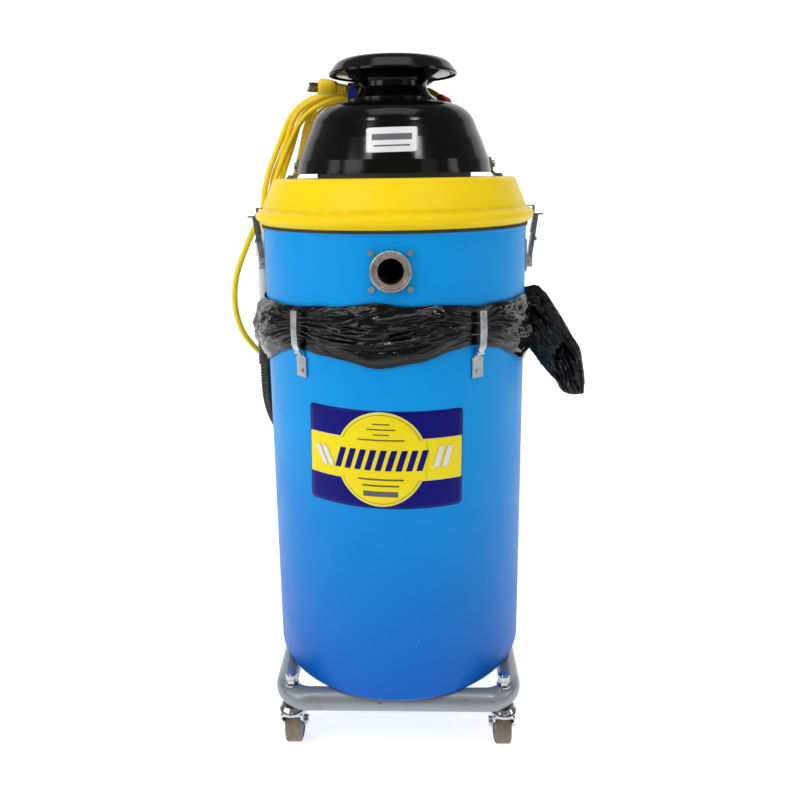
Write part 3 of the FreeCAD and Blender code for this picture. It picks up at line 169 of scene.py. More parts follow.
NECK_RUN = [
    (74.5, 61.9, 988.5), (62.8, 76.4, 1000.2), (44, 89, 1006), (20, 96, 1009), (-4, 96, 1010),
    (-28, 88, 1010), (-52, 76, 1008),
]
LONG_LOOP = [
    (-210, 91, 846), (-222, 76, 815), (-238, 62, 780), (-254, 52, 742), (-270, 47, 699),
    (-275, 49, 650), (-267, 60, 602), (-246, 84, 562), (-223, 112, 536), (-202, 136, 525),
    (-181, 160, 532), (-166, 176, 560), (-166, 173, 604), (-178, 156, 641), (-190, 138, 675),
]
# The hank's middle line, from the strap to above its foot, and at each point where each of its
# six strands lies: across the hank, then out from the middle. The fifth leaves early, for the
# long loop.
HANK_LINE = [
    (-74, 66, 997), (-112, 74, 989), (-153, 82, 966), (-173, 92, 912), (-195, 101, 856),
    (-207, 112, 800), (-209, 116, 720),
]
STRANDS = {
    "first": [(0, 5), (-1, 12), (-4, 19), (-18, 17), (-30, 13), (-31, 9), (-31, 7)],
    "second": [(0, -5), (0, 0), (1, 5), (0, 3), (-3, 3), (12, 6), (31, 7)],
    "third": [(-10, -5), (-11, -4), (-10, -4), (-20, -3), (-26, -1), (-27, -2), (-31, -3)],
    "fourth": [(10, -5), (10, -8), (4, -14), (9, -13), (14, -12), (20, -6), (31, -3)],
    "fifth": [(-10, 5), (-13, 7), (-13, 10), (-12, 8), (-15, 11)],
    "sixth": [(10, 5), (11, 7), (12, -3), (20, -3), (28, -3), (32, -10), (29, -13)],
}
FOOT = Vector((-206, 116, 0))
FOOT_ACROSS = Vector((0.49, 0.871, 0))
FOOT_OUT = Vector((-0.871, 0.49, 0))
TOP = Vector((-12, 102, 0))
TOP_ALONG = Vector((0.82, 0.57, 0))
TOP_ACROSS = Vector((-0.57, 0.82, 0))
CORD_END = [
    (-28, 110, 999.5), (-5, 121, 999.5), (16, 112, 999.5), (20, 93, 999.5), (4, 77, 1000),
    (-22, 66, 1001), (-50, 51, 1002), (-76, 38, 1003),
]
CORD_RADIUS = 4.75 * MM


def strand(name, upwards=False):
    """One strand's points, in millimetres."""
    points = []
    for k, (across_by, out_by) in enumerate(STRANDS[name]):
        middle = Vector(HANK_LINE[k])
        before = Vector(HANK_LINE[max(k - 1, 0)])
        after = Vector(HANK_LINE[min(k + 1, len(HANK_LINE) - 1)])
        along = (after - before).normalized()
        outward = Vector((0, 0, 1)) if k < 3 else Vector((middle.x, middle.y, 0)).normalized()
        across = along.cross(outward).normalized()
        out = across.cross(along)
        points.append(middle + across * across_by + out * out_by)
    return points[::-1] if upwards else points


def end_fold(middle, along, across, radius, backwards=False):
    """The six points of a fold at an end of the hank, from one side round to the other."""
    flat = 0.414 * radius
    places = [
        (-radius, -flat), (-radius, flat), (-flat, radius),
        (flat, radius), (radius, flat), (radius, -flat),
    ]
    points = [middle + across * a + along * b for a, b in places]
    return points[::-1] if backwards else points


def foot_fold(level, out_by, radius):
    middle = FOOT + FOOT_OUT * out_by + Vector((0, 0, level))
    return end_fold(middle, Vector((0, 0, -1)), FOOT_ACROSS, radius)


def top_fold(level, shift, radius):
    middle = TOP + TOP_ALONG * shift + Vector((0, 0, level))
    return end_fold(middle, TOP_ALONG, TOP_ACROSS, radius, backwards=True)


def cord_route():
    route = [Vector(p) for p in NECK_RUN]
    route += strand("first")
    route += foot_fold(664, 7, 31)
    route += strand("second", upwards=True)
    route += top_fold(981.5, 0, 28)
    route += strand("third")
    route += foot_fold(672, -3, 30)
    route += strand("fourth", upwards=True)
    route += top_fold(990.5, -3, 27)
    route += strand("fifth")
    route += [Vector(p) for p in LONG_LOOP]
    route += strand("sixth", upwards=True)
    route += [Vector(p) for p in CORD_END]
    return route


cord_curve = route_curve("power_cord_line", cord_route(), CORD_RADIUS)
cord = new_object("power_cord_line", cord_curve, "head")
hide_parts("power_cord", "cord_hank")
cord_length = run_length(curve_points(cord_curve))


# ---------------------------------------------------------------- materials


class Look:
    """A procedural material: a Principled shader with its nodes added one by one."""

    def __init__(self, name):
        self.material = bpy.data.materials.new(name)
        self.material.use_nodes = True
        self.tree = self.material.node_tree
        self.shader = next(n for n in self.tree.nodes if n.type == "BSDF_PRINCIPLED")
        self.place = self.add("ShaderNodeTexCoord").outputs["Object"]
        self.bumps = None

    def add(self, kind, **settings):
        node = self.tree.nodes.new(kind)
        for key, value in settings.items():
            setattr(node, key, value)
        return node

    def link(self, source, target):
        self.tree.links.new(source, target)

    def set(self, **values):
        for key, value in values.items():
            self.shader.inputs[key.replace("_", " ")].default_value = value
        return self

    def stretched(self, scale):
        node = self.add("ShaderNodeMapping")
        node.inputs["Scale"].default_value = scale
        self.link(self.place, node.inputs["Vector"])
        return node.outputs["Vector"]

    def noise(self, scale, detail=3, rough=0.5, stretch=None, kind="FBM"):
        node = self.add("ShaderNodeTexNoise", noise_type=kind)
        node.inputs["Scale"].default_value = scale
        node.inputs["Detail"].default_value = detail
        node.inputs["Roughness"].default_value = rough
        source = self.stretched(stretch) if stretch else self.place
        self.link(source, node.inputs["Vector"])
        return node.outputs["Fac"]

    def cells(self, scale, feature="F1", stretch=None):
        node = self.add("ShaderNodeTexVoronoi", feature=feature)
        node.inputs["Scale"].default_value = scale
        self.link(self.stretched(stretch) if stretch else self.place, node.inputs["Vector"])
        return node.outputs["Distance"]

    def level(self, source, low, high, to_low=0.0, to_high=1.0):
        node = self.add("ShaderNodeMapRange")
        self.link(source, node.inputs["Value"])
        for key, value in zip(("From Min", "From Max", "To Min", "To Max"), (low, high, to_low, to_high)):
            node.inputs[key].default_value = value
        return node.outputs["Result"]

    def mix(self, amount, first, second):
        node = self.add("ShaderNodeMix", data_type="RGBA")
        self.link(amount, node.inputs["Factor"])
        for socket, value in ((node.inputs[6], first), (node.inputs[7], second)):
            if isinstance(value, bpy.types.NodeSocket):
                self.link(value, socket)
            else:
                socket.default_value = value
        return node.outputs[2]

    def math(self, operation, *values):
        node = self.add("ShaderNodeMath", operation=operation)
        for k, value in enumerate(values):
            if isinstance(value, bpy.types.NodeSocket):
                self.link(value, node.inputs[k])
            else:
                node.inputs[k].default_value = value
        return node.outputs[0]

    def parts(self):
        node = self.add("ShaderNodeSeparateXYZ")
        self.link(self.place, node.inputs[0])
        return node.outputs

    def colour(self, source):
        self.link(source, self.shader.inputs["Base Color"])
        return self

    def rough(self, source):
        self.link(source, self.shader.inputs["Roughness"])
        return self

    def bump(self, source, distance, strength=1.0):
        node = self.add("ShaderNodeBump")
        node.inputs["Distance"].default_value = distance
        node.inputs["Strength"].default_value = strength
        self.link(source, node.inputs["Height"])
        if self.bumps:
            self.link(self.bumps, node.inputs["Normal"])
        self.bumps = node.outputs["Normal"]
        self.link(self.bumps, self.shader.inputs["Normal"])
        return self


def shade(red, green, blue):
    """A colour from its screen values, 0 to 255."""
    linear = []
    for value in (red, green, blue):
        part = value / 255
        linear.append(part / 12.92 if part <= 0.04045 else ((part + 0.055) / 1.055) ** 2.4)
    return (*linear, 1)


def moulded(name, main, other, roughness, grain=0.00006, grain_scale=900, wear=None, wear_from=0.62,
            spread=0.06, coat=0.0, metallic=0.0, mottle=9, gloss=0.5):
    """Painted or moulded surface: slow colour change, fine grain, uneven gloss, small scuffs."""
    look = Look(name)
    look.set(Metallic=metallic, Coat_Weight=coat, Coat_Roughness=0.08, Specular_IOR_Level=gloss)
    colour = look.mix(look.level(look.noise(mottle, 4), 0.32, 0.68), main, other)
    if wear:
        patches = look.noise(34, 6, 0.65)
        scratches = look.noise(60, 3, 0.6, stretch=(1, 1, 7))
        mask = look.math("MULTIPLY", look.level(patches, wear_from, wear_from + 0.1),
                         look.level(scratches, 0.45, 0.6))
        colour = look.mix(mask, colour, wear)
    look.colour(colour)
    look.rough(look.level(look.noise(26, 5, 0.6), 0.3, 0.7, roughness - spread, roughness + spread))
    look.bump(look.noise(grain_scale, 2), grain)
    look.bump(look.noise(14, 2), grain * 4, 0.5)
    return look


def metal(name, main, other, roughness, brushed=None, spots=None, spread=0.08):
    """Bare or plated metal: brushed lines, dull patches and, where given, spots of rust or dirt."""
    look = Look(name)
    look.set(Metallic=1.0)
    colour = look.mix(look.level(look.noise(40, 5, 0.6), 0.35, 0.65), main, other)
    if spots:
        colour = look.mix(look.level(look.noise(120, 6, 0.7), 0.6, 0.68), colour, spots)
    look.colour(colour)
    look.rough(look.level(look.noise(70, 5, 0.65), 0.3, 0.7, roughness - spread, roughness + spread))
    if brushed:
        look.bump(look.noise(300, 2, 0.5, stretch=brushed), 0.00005)
    look.bump(look.noise(650, 3), 0.00003)
    return look


def drum_paint():
    """Smooth blue plastic with faint rings from its moulding, a few pale scuffs and dusty patches, and
    painted shade that darkens the blue towards the barrel's foot.
    """
    look = Look("drum_blue")
    look.set(Specular_IOR_Level=0.16)
    height = look.parts()["Z"]
    slow = look.mix(look.level(look.noise(5, 3), 0.3, 0.7), shade(0, 158, 236), shade(0, 148, 230))
    # Painted shade: from about half a metre down, the blue darkens by height to a deep blue at the foot.
    low = look.mix(look.level(height, 0.12, 0.5), shade(0, 98, 196), slow)
    scuffs = look.math("MULTIPLY", look.level(look.noise(22, 6, 0.7), 0.64, 0.74),
                       look.level(look.noise(90, 4, 0.6, stretch=(1, 1, 5)), 0.5, 0.62))
    look.colour(look.mix(look.math("MULTIPLY", scuffs, 0.35), low, shade(120, 190, 232)))
    look.rough(look.level(look.noise(18, 5, 0.6), 0.3, 0.7, 0.34, 0.46))
    look.bump(look.noise(60, 2, 0.5, stretch=(0.1, 0.1, 2.2)), 0.00025, 0.5)
    look.bump(look.noise(11, 2), 0.0006, 0.4)
    look.bump(look.noise(800, 2), 0.00003)
    return look


def lid_paint():
    """Yellow plastic lid with sink marks, a patchy darker yellow along its groove and small dark scuffs
    on its edge.
    """
    look = Look("lid_yellow")
    look.set(Specular_IOR_Level=0.2)
    slow = look.mix(look.level(look.noise(7, 3), 0.3, 0.7), shade(254, 222, 12), shade(250, 214, 8))
    height = look.parts()["Z"]
    groove = look.math("SUBTRACT", 1.0, look.level(
        look.math("ABSOLUTE", look.math("SUBTRACT", height, 0.8165)), 0.001, 0.005))
    # Along the narrow groove band the yellow is darkened in patches towards a deep ochre.
    groove_darkening = look.math("MULTIPLY", groove, look.level(look.noise(55, 5), 0.35, 0.6, 0.1, 0.3))
    groove_darkened = look.mix(groove_darkening, slow, shade(196, 150, 8))
    scuffs = look.math("MULTIPLY", look.level(look.noise(28, 6, 0.7), 0.66, 0.74),
                       look.level(look.noise(130, 4), 0.5, 0.6))
    look.colour(look.mix(look.math("MULTIPLY", scuffs, 0.5), groove_darkened, shade(150, 120, 30)))
    look.rough(look.level(look.noise(20, 5, 0.6), 0.3, 0.7, 0.33, 0.47))
    look.bump(look.noise(9, 2), 0.0007, 0.5)
    look.bump(look.noise(900, 2), 0.00004)
    return look


def film():
    """Glossy black bag film, creased all over, with a faint haze of dust."""
    look = Look("bag_film_black")
    look.set(Specular_IOR_Level=0.3)
    haze = look.level(look.noise(30, 6, 0.7), 0.55, 0.8, 0.0, 0.2)
    look.colour(look.mix(haze, shade(4, 4, 5), shade(26, 26, 28)))
    look.rough(look.level(look.noise(45, 4), 0.3, 0.7, 0.09, 0.2))
    look.bump(look.cells(26, "F1", stretch=(1, 1, 2.4)), 0.004, 0.35)
    look.bump(look.noise(48, 4, 0.6, stretch=(1, 1, 2.6), kind="RIDGED_MULTIFRACTAL"), 0.0014, 0.5)
    look.bump(look.noise(220, 4, 0.7), 0.0003, 0.5)
    return look


def woven(name, main, other, pitch, roughness=0.8):
    """Close weave: two crossed sets of ribs, with a soft sheen."""
    look = Look(name)
    look.set(Sheen_Weight=0.35, Sheen_Roughness=0.4)
    threads = []
    for axis in ("X", "Z"):
        wave = look.add("ShaderNodeTexWave", bands_direction=axis, wave_profile="SIN")
        wave.inputs["Scale"].default_value = pitch
        wave.inputs["Distortion"].default_value = 1.2
        look.link(look.place, wave.inputs["Vector"])
        threads.append(wave.outputs["Fac"])
    weave = look.math("MAXIMUM", *threads)
    worn = look.level(look.noise(60, 5), 0.35, 0.65)
    look.colour(look.mix(look.math("MULTIPLY", worn, weave), main, other))
    look.rough(look.level(weave, 0, 1, roughness + 0.1, roughness - 0.1))
    look.bump(weave, 0.0003, 0.8)
    look.bump(look.noise(700, 3), 0.0001)
    return look


def tread():
    """Grey-brown rubber tread, scuffed and dusty where it rolls."""
    look = Look("tread_rubber")
    rolled = look.level(look.noise(45, 6, 0.7), 0.4, 0.68)
    look.colour(look.mix(rolled, shade(108, 99, 78), shade(138, 130, 112)))
    look.rough(look.level(look.noise(80, 4), 0.3, 0.7, 0.5, 0.75))
    look.bump(look.noise(210, 5, 0.7), 0.0003, 0.6)
    return look


DRUM = drum_paint()
LID = lid_paint()
FILM = film()
BLACK = moulded("dome_gloss_black", shade(6, 7, 6), shade(10, 11, 10), 0.13, grain=0.000012,
                spread=0.04, gloss=0.2, wear=shade(40, 40, 38), wear_from=0.72)
DARK = moulded("port_satin_black", shade(16, 16, 17), shade(24, 24, 25), 0.36, wear=shade(80, 80, 80))
GREY_TUBE = moulded("frame_grey", shade(152, 156, 160), shade(140, 145, 150), 0.34, metallic=0.35,
                    coat=0.15, wear=shade(92, 84, 74), wear_from=0.6)
CHROME = metal("chrome", shade(205, 205, 206), shade(172, 172, 174), 0.16, spots=shade(96, 76, 56))
ZINC = metal("zinc_plate", shade(196, 200, 202), shade(160, 165, 166), 0.3, brushed=(1, 1, 6),
             spots=shade(120, 118, 108))
LATCH = metal("latch_zinc", shade(150, 154, 150), shade(96, 100, 98), 0.34, brushed=(6, 6, 1),
              spots=shade(48, 44, 40))
RAW_METAL = metal("motor_metal_cast", shade(150, 150, 152), shade(118, 118, 122), 0.42)
PORT_RING = metal("port_ring_metal", shade(214, 206, 198), shade(172, 160, 150), 0.34,
                  spots=shade(84, 66, 52))
MAUVE = moulded("exhaust_mesh_grey", shade(150, 132, 134), shade(126, 110, 114), 0.6, grain=0.0002)
JACKET = moulded("cord_yellow", shade(250, 224, 20), shade(240, 206, 10), 0.42, grain=0.00008,
                 grain_scale=500, wear=shade(150, 120, 40), wear_from=0.66, mottle=16)
PLUG = moulded("plug_yellow", shade(248, 212, 40), shade(236, 194, 30), 0.38, grain=0.00006,
               wear=shade(140, 104, 40), wear_from=0.64)
GLAND = moulded("gland_orange", shade(214, 62, 18), shade(186, 44, 12), 0.4)
STRAP = woven("strap_webbing_blue", shade(20, 34, 150), shade(44, 62, 190), 260)
CLOTH = woven("filter_cloth_white", shade(226, 222, 208), shade(196, 190, 172), 150, 0.85)
RUBBER = moulded("gasket_black", shade(30, 30, 31), shade(44, 44, 44), 0.7, grain=0.0002)
WHITE_PIPE = moulded("pipe_white_pvc", shade(226, 228, 226), shade(208, 211, 209), 0.4,
                     wear=shade(150, 146, 134), wear_from=0.6)
HOSE = moulded("hose_black", shade(24, 24, 25), shade(34, 34, 35), 0.33, grain=0.0001,
               wear=shade(116, 112, 104), wear_from=0.58)
TREAD = tread()
CORE = moulded("wheel_core_grey", shade(118, 120, 120), shade(98, 100, 100), 0.5, wear=shade(70, 62, 50))
WHITE_LABEL = moulded("label_white", shade(232, 233, 233), shade(222, 223, 224), 0.32, grain=0.00001)
INK = moulded("label_grey_ink", shade(88, 90, 94), shade(98, 100, 104), 0.4, grain=0.00001)
NAVY = moulded("decal_navy_ink", shade(2, 2, 122), shade(4, 3, 108), 0.34, grain=0.00001,
               gloss=0.15, wear=shade(30, 34, 140), wear_from=0.72)
DECAL_YELLOW = moulded("decal_yellow_ink", shade(252, 232, 16), shade(246, 222, 12), 0.34, grain=0.00001,
                       gloss=0.25, wear=shade(226, 204, 60), wear_from=0.72)
PALE = moulded("decal_pale_rim", shade(238, 228, 130), shade(230, 218, 110), 0.3, grain=0.00002)
OLIVE = moulded("decal_olive_line", shade(112, 104, 22), shade(98, 92, 18), 0.35, grain=0.00002)
BRASS = metal("blade_metal", shade(150, 138, 112), shade(104, 92, 70), 0.28)

LOOKS = {
    "dolly_frame": GREY_TUBE, "dolly_cross_bars": GREY_TUBE, "caster_stems": CHROME,
    "stem_nuts": CHROME, "barrel": DRUM, "bag_liner": FILM, "bag_cuff": FILM,
    "bag_clip_brackets": ZINC, "balance_hose": HOSE, "hose_sleeve": HOSE,
    "hose_elbow": WHITE_PIPE, "upper_section": DRUM, "lid_gasket": RUBBER,
    "inlet_collar": PORT_RING, "inlet_screws": ZINC, "inlet_elbow": DARK, "lid": LID,
    "latch_base_left": ZINC, "latch_base_right": ZINC, "motor_dome": BLACK,
    "dome_brackets": LATCH, "neck_collar": BLACK, "motor_cap": BLACK, "exhaust_ring": MAUVE,
    "motor_flange": RAW_METAL, "motor_can": RAW_METAL, "motor_stator": DARK, "switch_plate": DARK,
    "filter_cage": ZINC, "filter_bag": CLOTH, "filter_clamp": ZINC, "balance_pipe": WHITE_PIPE,
    "balance_elbow": WHITE_PIPE, "power_cord": JACKET, "cord_hank": JACKET, "cord_strap": STRAP,
    "cord_gland": GLAND, "plug": PLUG, "motor_rotor": RAW_METAL, "switch_rocker": DARK,
    "caster_fork": CHROME, "wheel_core": CORE, "wheel_tyre": TREAD, "bag_clip": ZINC,
    "latch_lever": LATCH, "latch_claw": LATCH,
}


def look_for(name):
    if name in LOOKS:
        return LOOKS[name]
    starts = [key for key in LOOKS if name.startswith(key)]
    return LOOKS[max(starts, key=len)]


for node_name, thing in nodes.items():
    look = look_for(node_name)
    for slot in thing.material_slots:
        slot.material = look.material


def dress(thing, look):
    thing.data.materials.clear()
    thing.data.materials.append(look.material)
    return thing


dress(cord, JACKET)


# ---------------------------------------------------------------- plug, strap


def turned_rings(profile, sides, shape=None):
    """Rings about +Z from (radius, height) pairs; shape changes a ring's radius with its angle."""
    rings = []
    for radius, height in profile:
        ring = []
        for j in range(sides):
            angle = 2 * math.pi * j / sides
            size = radius * (shape(angle, height) if shape else 1)
            ring.append(Vector((size * math.cos(angle), size * math.sin(angle), height)))
        rings.append(ring)
    return rings


def placed(rings, place):
    return [[place @ p for p in ring] for ring in rings]


PLUG_BACK = Vector((-76, 38, 1003)) * MM
PLUG_AIM = Vector((-42, -3, 3))
PLUG_TWIST = math.radians(60)


def plug_place():
    """Takes the plug's own frame, blades along +Z, to where the plug lies."""
    facing = Vector((0, 0, 1)).rotation_difference(PLUG_AIM)
    twist = Matrix.Rotation(PLUG_TWIST, 4, "Z")
    return Matrix.Translation(PLUG_BACK) @ facing.to_matrix().to_4x4() @ twist


def make_plug():
    """The moulded plug: ribbed strain relief, ridged grip, face, two blades and the ground pin."""
    place = plug_place()
    profile = [(6.0, 0), (6.4, 0.6)]
    for k in range(5):
        low = 1.4 + 2.4 * k
        wide = 6.5 + 0.32 * k
        profile += [(wide, low), (wide, low + 1.3), (wide - 0.9, low + 1.5), (wide - 0.9, low + 2.2)]
    profile += [(8.4, 14), (10.2, 17.5), (11.6, 21), (12.4, 25), (12.8, 30), (12.9, 36), (12.8, 41),
                (12.2, 42.4), (11.4, 43)]

    def shape(angle, height):
        if height < 15 * MM:
            return 1
        ridge = 0.0
        if 20 * MM < height < 38 * MM:
            ridge = 0.02 * math.cos(14 * angle)
        flat = 0.86 + 0.14 * abs(math.sin(angle)) ** 0.8
        return flat + ridge * abs(math.cos(angle))

    rings = turned_rings([(r * MM, h * MM) for r, h in profile], 72, shape)
    points, faces = rings_to_mesh(placed(rings, place))
    grip = dress(mesh_object("plug_grip", points, faces, "head"), PLUG)

    rings = []
    for height, grow in ((42.6, 1.0), (44.2, 1.0), (44.6, 0.93)):
        ring = []
        for j in range(48):
            angle = 2 * math.pi * j / 48
            x = 10.2 * grow * math.copysign(abs(math.cos(angle)) ** 0.7, math.cos(angle))
            y = 1.4 + 10.2 * grow * math.copysign(abs(math.sin(angle)) ** 0.7, math.sin(angle))
            ring.append(place @ (Vector((x, y, height)) * MM))
        rings.append(ring)
    points, faces = rings_to_mesh(rings)
    face = dress(mesh_object("plug_face", points, faces, "head"), PLUG)

    blades = []
    for name, x in (("left", -6.15), ("right", 6.15)):
        rings = []
        for height, half_thick, half_width in (
            (42, 0.75, 3.1), (56, 0.75, 3.1), (58.6, 0.6, 2.7), (60, 0.3, 1.9)
        ):
            corners = [(-1, -1), (-0.6, -1.06), (0.6, -1.06), (1, -1), (1, 1), (0.6, 1.06),
                       (-0.6, 1.06), (-1, 1)]
            rings.append([
                place @ (Vector((x + half_thick * a, half_width * b, height)) * MM) for a, b in corners
            ])
        points, faces = rings_to_mesh(rings)
        blades.append(
            dress(mesh_object(f"plug_blade_{name}", points, faces, "head", False), BRASS)
        )
    pin = turned_rings([(2.3 * MM, 42 * MM), (2.3 * MM, 60 * MM), (1.9 * MM, 62 * MM),
                        (1.0 * MM, 63 * MM)], 24)
    pin = [[place @ (p + Vector((0, 8 * MM, 0))) for p in ring] for ring in pin]
    points, faces = rings_to_mesh(pin)
    blades.append(dress(mesh_object("plug_ground_pin", points, faces, "head"), BRASS))
    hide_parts("plug")
    return [grip, face, *blades]


def make_strap():
    """The blue hook-and-loop tie round the hank, its free end lapped over itself."""
    middle = Vector((-59, 63, 998.5)) * MM
    half_across, half_up, half_wide, thick = 0.0276, 0.0143, 0.0077, 0.0014
    laps = 1.16
    start = math.radians(-60)
    along = Vector((-1, 0, 0))
    across = along.cross(Vector((0, 0, 1))).normalized()
    up = across.cross(along)
    turns = 150
    rings = []
    for k in range(turns + 1):
        angle = start + 2 * math.pi * laps * k / turns
        share = k / turns
        lift = 0.0016 * max(0.0, min(1.0, (share - 0.78) / 0.08)) + 0.0003 * math.sin(5 * angle)
        centre = (
            middle + across * (half_across + lift) * math.cos(angle)
            + up * (half_up + lift) * math.sin(angle)
        )
        normal = (across * math.cos(angle) / half_across + up * math.sin(angle) / half_up).normalized()
        sway = 0.0007 * math.sin(3 * angle + 1)
        ring = []
        for a, b in ((0.0, -1), (0.0, 1), (1.0, 1), (1.0, -1)):
            inset = 0.0005 if abs(b) == 1 and a == 1.0 else 0.0
            wide = half_wide - inset
            ring.append(centre + along * (half_wide + sway + b * wide) + normal * (thick * a))
        rings.append(ring)
    points, faces = rings_to_mesh(rings)
    strap = mesh_object("cord_tie", points, faces, "head", False)
    bevel = strap.modifiers.new("edges", "BEVEL")
    bevel.width = 0.0003
    bevel.segments = 2
    bevel.limit_method = "ANGLE"
    dress(strap, STRAP)
    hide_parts("cord_strap")


plug_pieces = make_plug()
make_strap()


# ---------------------------------------------------------------- corrugated hose

HOSE_RUN = [
    (-221, 48.2, 550), (-221, 48.2, 508), (-218, 60, 466), (-209, 82, 428), (-196, 107, 392),
    (-183, 128, 354), (-178.9, 134.8, 318), (-178.9, 134.8, 290),
]


HOSE_MIDDLE = 0.01175
RIB_PITCH = 0.0052
RIB_HEIGHT = 0.00155
PLAIN_END = 0.004
PLAIN_RADIUS = 0.0124


def make_hose():
    """A hose with one rib winding along it, and a short plain stretch at each end."""
    line = route_curve("hose_line", HOSE_RUN, 0)
    line.splines[0].resolution_u = 40
    path = curve_points(line)
    bpy.data.curves.remove(line)
    length = run_length(path)
    steps = int(length / 0.00115)
    places = []
    done = [0.0]
    for a, b in zip(path, path[1:]):
        done.append(done[-1] + (b - a).length)
    j = 0
    for k in range(steps + 1):
        target = length * k / steps
        while j < len(path) - 2 and done[j + 1] < target:
            j += 1
        share = (target - done[j]) / (done[j + 1] - done[j])
        places.append(path[j].lerp(path[j + 1], min(max(share, 0), 1)))
    rings = []
    for k, (point, _, side, other) in enumerate(frames_along(places)):
        run = length * k / steps
        ring = []
        for m in range(28):
            angle = 2 * math.pi * m / 28
            wave = math.cos(2 * math.pi * run / RIB_PITCH + angle)
            radius = HOSE_MIDDLE + RIB_HEIGHT * math.tanh(2.4 * wave)
            if run < PLAIN_END or run > length - PLAIN_END:
                radius = PLAIN_RADIUS
            ring.append(point + (side * math.cos(angle) + other * math.sin(angle)) * radius)
        rings.append(ring)
    points, faces = rings_to_mesh(rings)
    hose = dress(mesh_object("corrugated_hose", points, faces, "base"), HOSE)
    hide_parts("balance_hose")


make_hose()


# ---------------------------------------------------------------- bag film

STRAP_AZIMUTHS = (-39, 35, 145, 215)


def ridges(x, y, z, seed):
    """Sharp folds: 1 on a fold's crest, falling to 0 between folds."""
    value = noise.noise(Vector((x, y, z + seed)))
    return 1 - min(abs(value) * 2.6, 1)


def to_strap(azimuth):
    """How far round, in degrees, the nearest bag clip is."""
    return min(abs((azimuth - a + 180) % 360 - 180) for a in STRAP_AZIMUTHS)


def cuff_edges(azimuth):
    """The height of the film's top and bottom edge at this place round the barrel."""
    free = min(to_strap(azimuth) / 30, 1)
    round_x = math.sin(math.radians(azimuth))
    round_y = -math.cos(math.radians(azimuth))
    top = 0.6925 - 0.0135 * round_x ** 2 + 0.003 * free
    top += 0.005 * noise.noise(Vector((round_x * 4, round_y * 4, 3.1)))
    bottom = 0.6345 - 0.058 * round_x ** 4 + 0.005 * noise.noise(Vector((round_x * 5, round_y * 5, 7.7)))
    bottom -= 0.025 * math.exp(-(((azimuth + 5) / 26) ** 2))
    bottom -= 0.022 * math.exp(-(((azimuth % 360 - 180) / 20) ** 2))
    bottom += 0.006 * math.exp(-((to_strap(azimuth) / 7) ** 2))
    return top, bottom


# Below CLEAR_BELOW, which is half a millimetre above the rim, the film stays out of BARREL_CLEAR.
FOLD_CIRCLE = 0.208
FILM_INSIDE = 0.2062
BARREL_CLEAR = 0.2058
CLEAR_BELOW = 0.6795


def make_cuff():
    """The band of bag film round the outside of the barrel's rim, pressed flat under the clips."""
    around = 1080
    rows = 64
    rings = []
    for k in range(rows + 1):
        share = k / rows
        ring = []
        for j in range(around):
            azimuth = -180 + 360 * j / around
            angle = math.radians(azimuth)
            top, bottom = cuff_edges(azimuth)
            height = top + (bottom - top) * share
            away = to_strap(azimuth)
            free = 1 - math.exp(-((away / 9) ** 2))
            x, y = math.sin(angle) * FOLD_CIRCLE, -math.cos(angle) * FOLD_CIRCLE
            level = 0.5 + (share - 0.5) * (1 + 0.9 * math.exp(-((away / 11) ** 2)))
            tilt = level + 0.35 * noise.noise(Vector((x * 6, y * 6, 11)))
            folds = ridges(x * 9, y * 9, tilt * 5.2, 0) * 0.66
            folds += ridges(x * 21, y * 21, tilt * 8.5, 9) * 0.36
            folds += ridges(x * 46, y * 46, tilt * 15, 23) * 0.16
            folds += 0.3 * noise.noise(Vector((x * 8, y * 8, level * 2 + 31)))
            belly = math.sin(math.pi * min(share * 1.08, 1)) ** 0.7
            room = 0.0012 + (0.0014 + 0.0105 * free) * belly
            radius = FILM_INSIDE + room * (0.35 + 0.66 * folds)
            left = math.exp(-(((azimuth + 86) / 26) ** 2))
            radius += 0.009 * left * belly * free
            if share > 0.94:
                radius -= (share - 0.94) / 0.06 * 0.0016
            if height < CLEAR_BELOW:
                radius = max(radius, BARREL_CLEAR)
            ring.append(Vector((math.sin(angle) * radius, -math.cos(angle) * radius, height)))
        rings.append(ring)
    points, faces = rings_to_mesh(rings, closed_ends=False)
    cuff = mesh_object("bag_film_cuff", points, faces, "base")
    thick = cuff.modifiers.new("film", "SOLIDIFY")
    thick.thickness = 0.0004
    thick.offset = 1
    dress(cuff, FILM)
    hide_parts("bag_cuff")
    return cuff


# The gathered end of the bag at the right: where its outer and inner edges are in the upright
# plane, as X and Z, and its half depth from front to back.
TAIL = [
    (204, 688, 204, 600, 5), (218, 691, 213, 588, 10), (232, 683, 223, 574, 15),
    (248, 665, 233, 562, 19), (266, 638, 242, 552, 22), (282, 608, 250, 543, 24),
    (293, 588, 256, 535, 24), (299, 560, 261, 527, 22), (303, 534, 267, 518, 18),
    (303, 514, 278, 512, 10),
]
TAIL_MIDDLE = -0.011
MOUTH_X = 0.264
MOUTH_Z = 0.574


def smooth_value(values, share):
    """A value a share of the way along a list, through a smooth curve."""
    place = share * (len(values) - 1)
    k = min(int(place), len(values) - 2)
    t = place - k
    before, start = values[max(k - 1, 0)], values[k]
    end, after = values[k + 1], values[min(k + 2, len(values) - 1)]
    return 0.5 * (
        2 * start + (end - before) * t + (2 * before - 5 * start + 4 * end - after) * t * t
        + (3 * start - before - 3 * end + after) * t * t * t
    )


